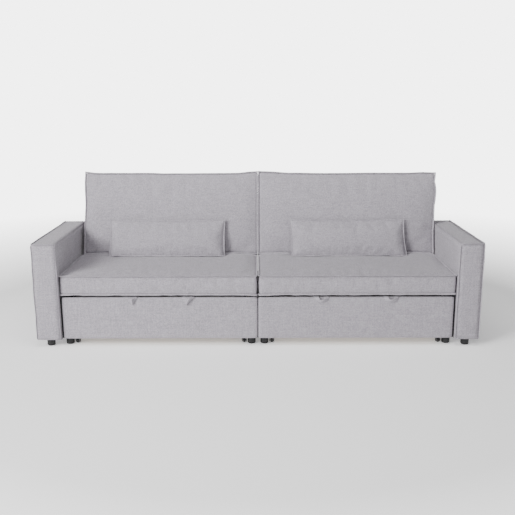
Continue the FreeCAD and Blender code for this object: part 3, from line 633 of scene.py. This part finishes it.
def make_seat(side):
    """The boxed seat cushion: crowned top, straight front and a flat underside."""
    seed = seed_of("seat", side)
    low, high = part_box(f"{side}_seat_cushion")
    low, high = np.array(low), np.array(high)
    high[2] -= SEAT_SINK
    size = high - low
    start, finish = np.array(SEAT_INSET)
    field = noise_field(seed, 14, 0.12, 0.5)
    inner = 1 if side == "left" else 0

    def shape(shares):
        points = start + shares * (size - start - finish)
        across, deep, up = shares.T
        full = crown(across, deep)
        top = up > 1 - EDGE
        lift = SEAT_CROWN * full * (1 + SEAT_UNEVEN * field(points))
        lift += pucker(seed, points, seam_distance(shares, size, 0, 1), SEAT_PUCKER)
        points[top, 2] += lift[top]
        rise, pressed = rear_rise(side, across, points[:, 0] + low[0])
        pressed = pressed * np.clip((deep - 0.62) / 0.18, 0, 1)
        points[:, 2] += rise * deep ** 1.8 * (1 - PRESSED_SHARE * pressed) * up
        front = deep < EDGE
        bulge = SEAT_FRONT_BULGE * swell(across, 0.3) * swell(up, 0.9)
        bulge += pucker(seed + 1, points, seam_distance(shares, size, 0, 2), *SIDE_PUCKER)
        points[front, 1] -= (bulge * (1 + 0.3 * field(points)))[front]
        back = deep > 1 - EDGE
        points[back, 1] += (SEAT_BULGE * swell(up))[back]
        ends = (across < EDGE) | (across > 1 - EDGE)
        side_bulge = SEAT_BULGE * swell(deep, 0.3) * swell(up)
        points[ends, 0] += (np.sign(across - 0.5) * side_bulge)[ends]
        beside = np.exp(-((across - inner) / 0.05) ** 2)
        points[:, 2] -= SEAT_DROOP * beside * (1 - up) ** 2 * (1 - deep) ** 2
        if side == "left":
            for place, share in SEAT_CREASES:
                ahead = points[:, 1] - CREASE_MIDDLE
                along = (points[:, 0] + low[0] - place) + ahead * CREASE_SLANT
                crease = np.exp(-(along / CREASE_WIDTH) ** 2) * np.exp(-(ahead / CREASE_LENGTH) ** 2)
                points[top, 2] -= (CREASE_DEPTH * share * crease)[top]
        return points

    piece = soft_box(
        f"{side}_seat", size, SEAT_SPACING, shape, axis=2,
        lips=(seat_lower_lip, seat_upper_lip),
        seed=seed, pressure=1.5, slack=0.006, cap=0.010,
    )
    place_piece(piece, Matrix.Translation(Vector(low)))
    dress(piece, FABRIC, "upholstery_fabric", "base", f"{side}_seat_cushion")


for side in SIDES:
    make_seat(side)


# Back cushions

BACK_LEAN = Matrix.Rotation(-RECLINE, 4, "X")
BACK_SPACING = 0.019
BACK_CROWN = 0.025
BACK_UNEVEN = 0.13
BACK_PUCKER = 0.0016
BACK_SHIFT = 0.010        # how far its fullest point lies behind its solid's, before the crown
BACK_FRONT = 0.013        # how far the front seam stands behind the cushion's fullest point
BACK_FOOT = 0.010         # how far the cushion presses down towards the seat
BACK_CORNER_LIFT = 0.008  # how much less it does so at its corners
BACK_HEAD = 0.009         # and how far its lipped head stands up
BACK_INSET = ((0.0065, BACK_FRONT, 0.0070), (0.0065, 0.007, 0.0075))
BACK_FORWARD = 0.007      # how far its foot comes forward to the seat
BACK_FOOT_LIP = 0.010
BACK_REAR_LIP = 0.006
BACK_HEAD_BULGE = 0.003

# How far each cushion's ends lie from its node's, at its low X and its high X
BACK_ENDS = {"left": (0.0125, 0.0055), "right": (0.0, 0.0095)}

# How far its low X end and its high X end bulge
BACK_FULL = {"left": (0.004, 0.005), "right": (0.002, 0.004)}

JOIN_SKEW = -0.0025       # the join between the two lies this much aside at its rear

# Share of the cushion's width, from its low X end, and how far its top hangs there
BACK_TOP_SAG = {
    "left": ((0, 0), (0.025, 4), (0.05, 8), (0.1, 10), (0.38, 10), (0.45, 14), (0.55, 13),
             (0.8, 12), (0.9, 10), (0.95, 4), (1, 0)),
    "right": ((0, 0), (0.08, 3), (0.16, 10), (0.3, 13), (0.45, 14), (0.6, 12), (0.75, 12),
              (0.85, 13), (0.93, 9), (1, 11)),
}
# Share of the cushion's height, and how far its outer side stands in there
BACK_SIDE_DRAW = {
    "left": ((0, 0), (0.35, 0), (0.52, 4), (0.62, 7), (0.75, 3), (0.88, 0), (1, 3)),
    "right": ((0, 6), (0.1, 7), (0.28, 7), (0.38, 1), (0.5, -2), (0.59, -4), (0.65, -10),
              (0.72, -14), (0.78, -17), (0.84, -14), (0.9, -8), (0.96, -13), (1, -14)),
}


def lean_box(node, lean):
    """The lowest and highest corners of a node's mesh in a frame that leans about the origin."""
    turn = np.array(lean.inverted().to_3x3())
    points = read_points(frame["nodes"][node].data) @ turn.T
    return points.min(axis=0), points.max(axis=0)


def back_front_lip(outward):
    """The front lip: it leans forward, and at the foot it lies out on the seat."""
    direction, across, reach = tilted_lip(1, -1, 0.55)(outward)
    foot = outward[:, 2] < -FACING
    direction[foot] = outward[foot] * 0.60 + np.array([0, -0.80, 0])
    across[foot] = outward[foot] * 0.80 + np.array([0, 0.60, 0])
    reach[foot] = BACK_FOOT_LIP
    return direction, across, reach


def make_back(side):
    """The boxed back cushion, leaning, with its top sagging between its ears."""
    seed = seed_of("back", side)
    low, high = lean_box(f"{side}_back_cushion", BACK_LEAN)
    low[1] += BACK_SHIFT
    near, far = BACK_ENDS[side]
    low[0] += near
    high[0] += far
    low[2] -= BACK_FOOT
    high[2] += BACK_HEAD
    size = high - low
    start, finish = np.array(BACK_INSET)
    field = noise_field(seed, 16, 0.14, 0.7)

    def shape(shares):
        points = start + shares * (size - start - finish)
        across, deep, up = shares.T
        front = deep < EDGE
        lift = BACK_CROWN * crown(across, up) * (1 + BACK_UNEVEN * field(points))
        lift += pucker(seed, points, seam_distance(shares, size, 0, 2), BACK_PUCKER)
        lift += (BACK_FORWARD * swell(across, 0.2) - 0.25 * lift) * (1 - up) ** 8
        points[front, 1] -= lift[front]
        points[:, 2] -= profile(BACK_TOP_SAG[side], across) * up ** 2
        rise, pressed = rear_rise(side, across, points[:, 0] + low[0])
        lift = 0.85 * rise * (1 - PRESSED_SHARE * pressed) + BACK_CORNER_LIFT * (1 - swell(across, 0.3))
        points[:, 2] += lift * (1 - up) ** 3
        inner, outer = (across, 1 - across) if side == "left" else (1 - across, across)
        draw = profile(BACK_SIDE_DRAW[side], up)
        points[:, 0] -= SIDES[side] * draw * outer ** 8
        points[:, 0] += JOIN_SKEW * deep * inner ** 8
        ends = (across < EDGE) | (across > 1 - EDGE)
        side_full = np.where(across < 0.5, *BACK_FULL[side])
        bulge = side_full * swell(deep) * swell(up, 0.3)
        bulge += pucker(seed + 2, points, seam_distance(shares, size, 1, 2), *SIDE_PUCKER)
        points[ends, 0] += (np.sign(across - 0.5) * bulge)[ends]
        top = up > 1 - EDGE
        points[top, 2] += (BACK_HEAD_BULGE * swell(deep) * swell(across, 0.3))[top]
        return points

    piece = soft_box(
        f"{side}_back", size, BACK_SPACING, shape, axis=1,
        lips=(back_front_lip, tilted_lip(1, 1, 0.30, BACK_REAR_LIP)),
        seed=seed, pressure=1.5, slack=0.006, cap=0.012,
    )
    place_piece(piece, BACK_LEAN @ Matrix.Translation(Vector(low)))
    dress(piece, FABRIC, "upholstery_fabric", f"{side}_back", f"{side}_back_cushion")


for side in SIDES:
    make_back(side)


# Lumbar pillows

PILLOW_LEAN = Matrix.Rotation(-math.radians(20), 4, "X")
PILLOW_SPACING = 0.0135
PILLOW_HALF = 0.034
PILLOW_EDGE = 0.003       # half its thickness at its seam
PILLOW_UNEVEN = 0.07
PILLOW_PUCKER = (0.0022, 0.04)
PILLOW_INSET = ((0.007, 0, 0.0125), (0.007, 0, 0.007))
PILLOW_FORWARD = 0.034    # how far forward the seam lies at its foot
PILLOW_PINCH = 0.006      # how far its ends draw in between the corners
PILLOW_SAG = 0.006        # and its top
PILLOW_FOOT_LIP = 0.0095

# How far each pillow's ends lie from its node's, and how far its foot lies aside
PILLOW_ENDS = {"left": (-0.004, 0.002), "right": (-0.008, -0.004)}
PILLOW_SHEAR = {"left": -0.003, "right": 0.014}


def make_pillow(side):
    """A knife-edge pillow: two full faces on one lipped seam, which lies forward at its foot."""
    seed = seed_of("pillow", side)
    low, high = lean_box(f"{side}_lumbar_pillow", PILLOW_LEAN)
    near, far = PILLOW_ENDS[side]
    low[0] += near
    high[0] += far
    size = high - low
    middle = size[1] / 2
    start, finish = np.array(PILLOW_INSET)
    field = noise_field(seed, 12, 0.10, 0.45)
    counts = [round(size[0] / PILLOW_SPACING), 2, round(size[2] / PILLOW_SPACING)]
    lattice, faces = surface_lattice(counts)
    shares = lattice / counts
    across, deep, up = shares.T
    points = start + shares * (size - start - finish)
    half = PILLOW_EDGE + PILLOW_HALF * swell(across, 0.36) * swell(up, 0.55)
    half -= 0.35 * (half - PILLOW_EDGE) * (1 - up) ** 14
    half *= 1 + PILLOW_UNEVEN * field(points)
    half += pucker(seed, points, seam_distance(shares, size, 0, 2), *PILLOW_PUCKER)
    forward = -PILLOW_FORWARD * (1 - up) ** 4 * swell(across, 0.2)
    points[:, 1] = middle + (2 * deep - 1) * half + forward
    pinch = PILLOW_PINCH * swell(up, 0.6)
    points[:, 0] += np.where(across < 0.5, pinch, -pinch) * np.abs(2 * across - 1) ** 8
    points[:, 0] += PILLOW_SHEAR[side] * (1 - up)
    points[:, 2] -= PILLOW_SAG * swell(across, 0.5) * up ** 3
    body = mesh_piece(f"{side}_pillow", points, faces)
    ring = seam_rings(lattice, counts, 1, (1,))[0]
    points = simulate(body, ring, 2.0, 0.01, 0.010)
    set_points(body, points)
    round_off(body)
    outward = edge_directions(counts, 1)
    foot = outward[:, 2] < -FACING
    direction = outward * 0.96 + np.array([0, -0.28, 0])
    across_lip = outward * -0.28 + np.array([0, -0.96, 0])
    direction[foot] = outward[foot] * 0.80 + np.array([0, -0.60, 0])
    across_lip[foot] = outward[foot] * 0.60 + np.array([0, 0.80, 0])
    diagonal = np.abs(outward).max(axis=1) < DIAGONAL
    reach = np.where(foot, PILLOW_FOOT_LIP, np.where(diagonal, FLANGE * 1.3, FLANGE))
    band = lip(
        f"{side}_pillow_lip", points[ring], direction, across_lip, reach, FLANGE_THICKNESS, seed,
    )
    piece = join_meshes(f"{side}_pillow", [body, band])
    place_piece(piece, PILLOW_LEAN @ Matrix.Translation(Vector(low)))
    dress(piece, FABRIC, "upholstery_fabric", f"{side}_pillow", f"{side}_lumbar_pillow")


for side in SIDES:
    make_pillow(side)


# Covers of the hard parts

def soft_block(name, low, high, radius, divisions, bow):
    """An upholstered board: rounded edges and faces that swell a little between them."""
    low, high = np.array(low), np.array(high)
    size = high - low
    lattice, faces = surface_lattice(divisions)
    shares = lattice / divisions
    points = low + shares * size
    core = np.clip(points, low + radius, high - radius)
    away = points - core
    length = np.linalg.norm(away, axis=1)
    moved = length > TINY
    points[moved] = core[moved] + away[moved] / length[moved, None] * radius
    for axis in range(3):
        first, second = (axis + 1) % 3, (axis + 2) % 3
        full = swell(shares[:, first], 0.6) * swell(shares[:, second], 0.6)
        for level, sign in ((0, -1), (1, 1)):
            face = np.abs(shares[:, axis] - level) < EDGE
            points[face, axis] += sign * bow[axis] * full[face]
    return mesh_piece(name, points, faces)


def divide(size, spacing):
    """How many cells of about a spacing each length of a box takes."""
    return [max(4, round(length / spacing)) for length in size]


def end_run(low, high, level, spacing):
    """Points round a box's face at one X, with the directions out of its edges."""
    corners = [(low[1], low[2]), (high[1], low[2]), (high[1], high[2]), (low[1], high[2])]
    run, outward = [], []
    for number, corner in enumerate(corners):
        following = corners[(number + 1) % 4]
        length = math.dist(corner, following)
        steps = max(2, round(length / spacing))
        edge_out = np.array([0, following[1] - corner[1], corner[0] - following[0]]) / length
        for step in range(1, steps):
            share = step / steps
            run.append((level, *(a + share * (b - a) for a, b in zip(corner, following))))
            outward.append(edge_out)
    return np.array(run), np.array(outward)


# Arms

ARM_PROUD = 0.001         # how far the fabric stands off its solid
ARM_ROUND = 0.003
ARM_BOW = 0.002
ARM_SPACING = 0.03
ARM_LIP = 0.0065
ARM_LIP_RISE = 0.38       # how far the lips lean out to the sides, as a share of their width
ARM_LIP_SPACING = 0.012
ARM_LIP_INSET = (0.002, 0.0015)    # how deep their roots lie, from the side and from the edge
ARM_SEAM_LIP = 0.0045
ARM_SEAM_INSET = (0.008, 0.001, 0.002)
ARM_SEAM_POINTS = 14
ARM_SEAM_SEED = 5


def make_arm(side):
    """The slab arm: flat padded faces whose end panels are sewn in with lipped seams."""
    seed = seed_of("arm", side)
    low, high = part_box(f"{side}_arm_cover")
    low, high = np.array(low) - ARM_PROUD, np.array(high) + ARM_PROUD
    body = soft_block(
        f"{side}_arm_body", low, high, ARM_ROUND, divide(high - low, ARM_SPACING),
        bow=(ARM_BOW, ARM_BOW, ARM_BOW),
    )
    bands = []
    deep, below = ARM_LIP_INSET
    spread = math.sqrt(1 - ARM_LIP_RISE ** 2)
    for number, (level, sign) in enumerate(((low[0], -1), (high[0], 1))):
        run, outward = end_run(low, high, level - sign * deep, ARM_LIP_SPACING)
        run -= outward * below
        across = np.zeros_like(outward)
        across[:, 0] = sign
        bands.append(lip(
            f"{side}_arm_lip_{number}", run, outward * spread + across * ARM_LIP_RISE,
            across * spread - outward * ARM_LIP_RISE, ARM_LIP, FLANGE_THICKNESS, seed + number,
        ))
    aside, behind, under = ARM_SEAM_INSET
    places = np.linspace(low[0] + aside, high[0] - aside, ARM_SEAM_POINTS)
    seam = np.array([(x, low[1] + behind, high[2] - under) for x in places])
    forward = np.tile((0.0, -0.94, 0.34), (len(seam), 1))
    upward = np.tile((0.0, 0.34, 0.94), (len(seam), 1))
    bands.append(lip(
        f"{side}_arm_seam", seam, forward, upward, ARM_SEAM_LIP, FLANGE_THICKNESS,
        seed + ARM_SEAM_SEED, closed=False,
    ))
    piece = join_meshes(f"{side}_arm", [body] + bands)
    dress(piece, FABRIC, "upholstery_fabric", "base", f"{side}_arm_cover")


for side in SIDES:
    make_arm(side)


# Front panels of the trundles

FRONT_ROUND = 0.0075
FRONT_BOW = (0.0005, 0.0015, 0.0005)
FRONT_CELLS = (70, 5, 20)


def make_front(side):
    """The trundle's upholstered front: a board with softly rounded edges."""
    low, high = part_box(f"{side}_front_panel")
    piece = soft_block(
        f"{side}_front", np.array(low) + (0, FRONT_BOW[1], 0), high, FRONT_ROUND,
        FRONT_CELLS, FRONT_BOW,
    )
    dress(piece, FABRIC, "upholstery_fabric", f"{side}_trundle", f"{side}_front_panel")


for side in SIDES:
    make_front(side)


# Back covers and trundle pads

COVER_INSET = 0.001
COVER_ROUND = 0.009
COVER_SPACING = 0.035
COVER_BOW = (0.001, 0.002, 0.002)
PAD_SPACING = 0.026
PAD_INSET = (0.007, 0.007, 0.004)
PAD_CROWN = 0.0035
PAD_UNEVEN = 0.2
PAD_LIP = 0.006


def make_back_cover(side):
    """The upholstered frame behind the back cushion, leaning with it."""
    low, high = lean_box(f"{side}_back_cover", BACK_LEAN)
    body = soft_block(
        f"{side}_back_cover_body", low + COVER_INSET, high - COVER_INSET, COVER_ROUND,
        divide(high - low, COVER_SPACING), COVER_BOW,
    )
    place_piece(body, BACK_LEAN)
    dress(body, FABRIC, "upholstery_fabric", f"{side}_back", f"{side}_back_cover")


def make_pad(side):
    """The trundle's mattress pad in its ticking, with a lipped edge top and bottom."""
    seed = seed_of("pad", side)
    low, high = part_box(f"{side}_trundle_pad")
    low, high = np.array(low), np.array(high)
    size = high - low
    inset = np.array(PAD_INSET)
    field = noise_field(seed, 14, 0.12, 0.5)

    def shape(shares):
        points = inset + shares * (size - 2 * inset)
        top = shares[:, 2] > 1 - EDGE
        lift = PAD_CROWN * crown(shares[:, 0], shares[:, 1]) * (1 + PAD_UNEVEN * field(points))
        points[top, 2] += lift[top]
        return points

    piece = soft_box(
        f"{side}_pad", size, PAD_SPACING, shape, axis=2,
        lips=(tilted_lip(2, -1, 0.2, PAD_LIP), tilted_lip(2, 1, 0.2, PAD_LIP)),
        seed=seed, pressure=1.0, slack=0.004, cap=0.005,
    )
    place_piece(piece, Matrix.Translation(Vector(low)))
    dress(piece, PAD_FABRIC, "pad_cover", f"{side}_trundle", f"{side}_trundle_pad")


for side in SIDES:
    make_back_cover(side)
    make_pad(side)


# Pull tabs

TAB_CLOTH = 0.0018
TAB_GAP = 0.0002          # from the panel's face
TAB_REST = 0.0012         # above the panel's upper edge

TAB_OFFSET = {"left": 0.172, "right": 0.208}    # from the middle between the two

# A tab's half width and its drop, and how far its point lies aside, or its hole's own two sizes
POINTED = {"half": 0.040, "drop": 0.045}
POINTED_SKEW = 0.012
ROUNDED = {"half": 0.044, "drop": 0.035, "hole_half": 0.015, "hole_drop": 0.012}

# Where a strap lies on the panel's upper edge: how far back, and how high
TUCKED = ((0.020, 0.0012), (0.007, 0.0014))
LOOP_TUCKED = ((0.020, 0.0012), (0.006, 0.0014))

# Across a pointed tab, how far each share of its width stands off the panel
RIDGE = ((0, 0.001), (0.06, 0.0035), (0.2, 0.0075), (0.36, 0.0120), (0.48, 0.0160),
         (0.58, 0.0195), (0.66, 0.0215), (0.76, 0.0130), (0.88, 0.0050), (1, 0.001))
# And each share of the way from a loop's hole to its rim
LOOP_FOLDS = ((0, 0.0165), (0.12, 0.0180), (0.3, 0.0150), (0.42, 0.0118), (0.55, 0.0112),
              (0.7, 0.0070), (0.85, 0.0035), (1, 0.001))
TAB_STAND = 0.0008        # how far the whole of a tab stands off besides
TAB_STEPS = (0.09, 0.2, 0.36, 0.52, 0.7, 0.84, 0.94, 1)  # shares of a pointed tab's drop
LOOP_STEPS = 14


def ribbon(name, rows):
    """A strap through rows of points, given a cloth's thickness and rounded."""
    width = len(rows[0])
    points = [point for row in rows for point in row]
    faces = [
        (row * width + at, row * width + at + 1, (row + 1) * width + at + 1, (row + 1) * width + at)
        for row in range(len(rows) - 1)
        for at in range(width - 1)
    ]
    piece = mesh_piece(name, points, faces)
    thick = piece.modifiers.new("thickness", "SOLIDIFY")
    thick.thickness = TAB_CLOTH
    thick.offset = 0
    return round_off(piece, 2)


def pointed_rows(half, drop, skew):
    """A strap folded to a point that stands off the panel along a ridge, open at its top."""
    rows = [
        [(-half + 2 * half * share, back, height) for share, rise in RIDGE]
        for back, height in TUCKED
    ]
    rows.append([
        (-half + 2 * half * share, -0.0004 - rise * 0.8, 0.0003 - rise * 0.12)
        for share, rise in RIDGE
    ])
    for down in TAB_STEPS:
        left = -half + (skew + half) * down ** 1.1
        right = half + (skew - half) * down ** 0.9
        body = 1 - 0.55 * down ** 2
        rows.append([
            (left + (right - left) * share, -TAB_STAND - rise * body, -drop * down)
            for share, rise in RIDGE
        ])
    return rows


def rounded_rows(half, drop, hole_half, hole_drop):
    """A strap hanging in a shallow round loop that stands off the panel at its opening."""
    reaches = [hole_half + (half - hole_half) * share for share, fold in LOOP_FOLDS]
    rows = [[(-reach, back, height) for reach in reaches] for back, height in LOOP_TUCKED]
    for number in range(LOOP_STEPS + 1):
        angle = math.pi * number / LOOP_STEPS
        stand = 0.35 + 0.65 * math.sin(angle * 0.86) ** 0.8
        rows.append([
            (
                -math.cos(angle) * reach,
                -TAB_STAND - fold * stand,
                -abs(math.sin(angle)) ** 0.8 * (hole_drop + (drop - hole_drop) * share),
            )
            for reach, (share, fold) in zip(reaches, LOOP_FOLDS)
        ])
    rows += [[(reach, back, height) for reach in reaches] for back, height in LOOP_TUCKED[::-1]]
    return rows


def make_tabs(side):
    """The two straps that hang over the front panel's upper edge."""
    low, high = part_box(f"{side}_pull_tabs")
    panel_low, panel_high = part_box(f"{side}_front_panel")
    middle = (low[0] + high[0]) / 2
    pieces = []
    for direction in (-1, 1):
        if side == "left":
            rows = pointed_rows(**POINTED, skew=-direction * POINTED_SKEW)
        else:
            rows = rounded_rows(**ROUNDED)
        start = np.array((
            middle + direction * TAB_OFFSET[side], panel_low[1] - TAB_GAP,
            panel_high[2] + TAB_REST,
        ))
        rows = [[tuple(start + np.array(point)) for point in row] for row in rows]
        pieces.append(ribbon(f"{side}_tab_{direction}", rows))
    piece = join_meshes(f"{side}_tabs", pieces)
    dress(piece, FABRIC, "upholstery_fabric", f"{side}_trundle", f"{side}_pull_tabs")


for side in SIDES:
    make_tabs(side)


# Linings: a near-black cloth, painted shade in the slot between the seat and the front panel

LINING_GAP = 0.0012       # from the deck
LINING_TOP = 0.0008       # below the deck's top
LINING_INSET = 0.002      # from the deck's ends
LINING_TUCK = 0.03        # how far it turns in under the deck
LINING_SLACK = 0.0003
LINING_COLUMNS = 60
LINING_SEED = 5


def make_shade_lining(side):
    """The dust cloth over the front edge of the seat's deck, seen through the slot, made near black as painted
    shade for the slot.
    """
    low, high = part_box(f"{side}_seat_deck")
    front, foot = low[1] - LINING_GAP, low[2] - LINING_GAP
    columns = np.linspace(low[0] + LINING_INSET, high[0] - LINING_INSET, LINING_COLUMNS)
    slack = noise_field(LINING_SEED + SIDES[side], 8, 0.1, 0.5)
    rows = [[(x, front + LINING_TUCK, foot) for x in columns]]
    for height in (foot, (low[2] + high[2]) / 2, high[2] - LINING_TOP):
        places = np.array([(x, front, height) for x in columns])
        places[:, 1] -= LINING_SLACK * np.abs(slack(places))
        rows.append([tuple(place) for place in places])
    piece = ribbon(f"{side}_lining", rows)
    # Near black, as painted shade for the slot
    dress(piece, SHADE_LINING, "base_board", "base")


for side in SIDES:
    make_shade_lining(side)


# Floor, light and camera

FLOOR_SIZE = 6
FLOOR_GLOW = 0.35         # a little light of its own, as a lit studio floor gives back
FLOOR_FADE = (2.1, 5.2)   # where the floor starts to fade into the backdrop, and ends


def make_floor():
    """A pale floor round the sofa that fades into a backdrop of the same tone."""
    around = ((-1, -1), (1, -1), (1, 1), (-1, 1))
    corners = [(x * FLOOR_SIZE, y * FLOOR_SIZE, 0) for x, y in around]
    floor = mesh_piece("floor", corners, [(0, 1, 2, 3)])
    nodes = Nodes("floor_paint")
    tone = nodes.ramp(nodes.noise(scale=3, detail=2), (0.3, (0.89, 0.89, 0.89)), (0.7, (0.9, 0.9, 0.9)))
    distance = nodes.add("ShaderNodeVectorMath", operation="LENGTH")
    nodes.link(nodes.place, distance.inputs[0])
    share = nodes.math("DIVIDE", distance.outputs["Value"], FLOOR_SIZE)
    near, far = (place / FLOOR_SIZE for place in FLOOR_FADE)
    fade = nodes.ramp(share, (near, (1, 1, 1)), (far, (0, 0, 0)))
    nodes.link(fade, nodes.shader.inputs["Alpha"])
    floor.data.materials.append(nodes.finish(
        tone, Roughness=0.9, Specular_IOR_Level=0.1, Emission_Color=(1, 1, 1, 1),
        Emission_Strength=FLOOR_GLOW,
    ))


def area_light(name, place, target, size, power):
    """A soft square light that points at a target."""
    lamp = bpy.data.lights.new(name, "AREA")
    lamp.shape = "SQUARE"
    lamp.size = size
    lamp.energy = power
    light = show(name, lamp)
    light.location = place
    light.rotation_euler = (Vector(target) - Vector(place)).to_track_quat("-Z", "Y").to_euler()


KEY_LIGHT = {"place": (-4.9, -5.1, 3.6), "target": (0, 0, 0.45), "size": 3.0, "power": 750}
TOP_LIGHT = {"place": (0.0, -1.5, 4.4), "target": (0, 0, 0.3), "size": 2.5, "power": 120}

# Strength of the surroundings by the sine of their height above the horizon
SKY = ((0.0, 1.0), (0.13, 1.0), (0.26, 0.03), (1.0, 0.03))
# And its share by how far they lie behind the sofa: 0 in front of it, 1 straight behind
BACKDROP = ((0.0, 0.24), (0.62, 0.24), (0.86, 1.0), (1.0, 1.0))
BACKDROP_STRENGTH = 5.2


def curve(tree, source, stops):
    """A value that follows the stops of a curve."""
    node = tree.nodes.new("ShaderNodeFloatCurve")
    points = node.mapping.curves[0].points
    while len(points) < len(stops):
        points.new(0.5, 0.5)
    for point, place in zip(points, stops):
        point.location = place
        point.handle_type = "VECTOR"
    node.mapping.update()
    tree.links.new(source, node.inputs["Value"])
    return node.outputs["Value"]


def make_light():
    """Soft studio light from the front left, with a bright backdrop behind the sofa."""
    world = bpy.data.worlds.new("studio")
    bpy.context.scene.world = world
    world.use_nodes = True
    tree = world.node_tree
    background = tree.nodes["Background"]
    background.inputs["Color"].default_value = (1, 1, 1, 1)
    split = tree.nodes.new("ShaderNodeSeparateXYZ")
    tree.links.new(tree.nodes.new("ShaderNodeTexCoord").outputs["Generated"], split.inputs[0])
    behind = combine(tree, "MULTIPLY_ADD", split.outputs["Y"], 0.5, 0.5)
    shares = combine(
        tree, "MULTIPLY",
        curve(tree, split.outputs["Z"], SKY), curve(tree, behind, BACKDROP),
    )
    strength = combine(tree, "MULTIPLY", shares, BACKDROP_STRENGTH)
    tree.links.new(strength, background.inputs["Strength"])
    area_light("key", **KEY_LIGHT)
    area_light("top", **TOP_LIGHT)


def make_camera():
    """The photograph's camera: 50 mm lens, a little above the arms and looking down."""
    forward = Vector((0, math.cos(CAMERA_PITCH), -math.sin(CAMERA_PITCH)))
    level = Vector((1, 0, 0))
    upright = level.cross(forward)
    right = math.cos(CAMERA_ROLL) * level + math.sin(CAMERA_ROLL) * upright
    up = math.cos(CAMERA_ROLL) * upright - math.sin(CAMERA_ROLL) * level
    turn = Matrix((right, up, -forward)).transposed()
    data = bpy.data.cameras.new("camera")
    data.lens = LENS_MM
    data.sensor_width = SENSOR_MM
    data.clip_end = 100
    camera = show("camera", data)
    camera.matrix_world = Matrix.Translation(Vector(CAMERA_PLACE)) @ turn.to_4x4()
    bpy.context.scene.camera = camera


make_floor()
make_light()
make_camera()
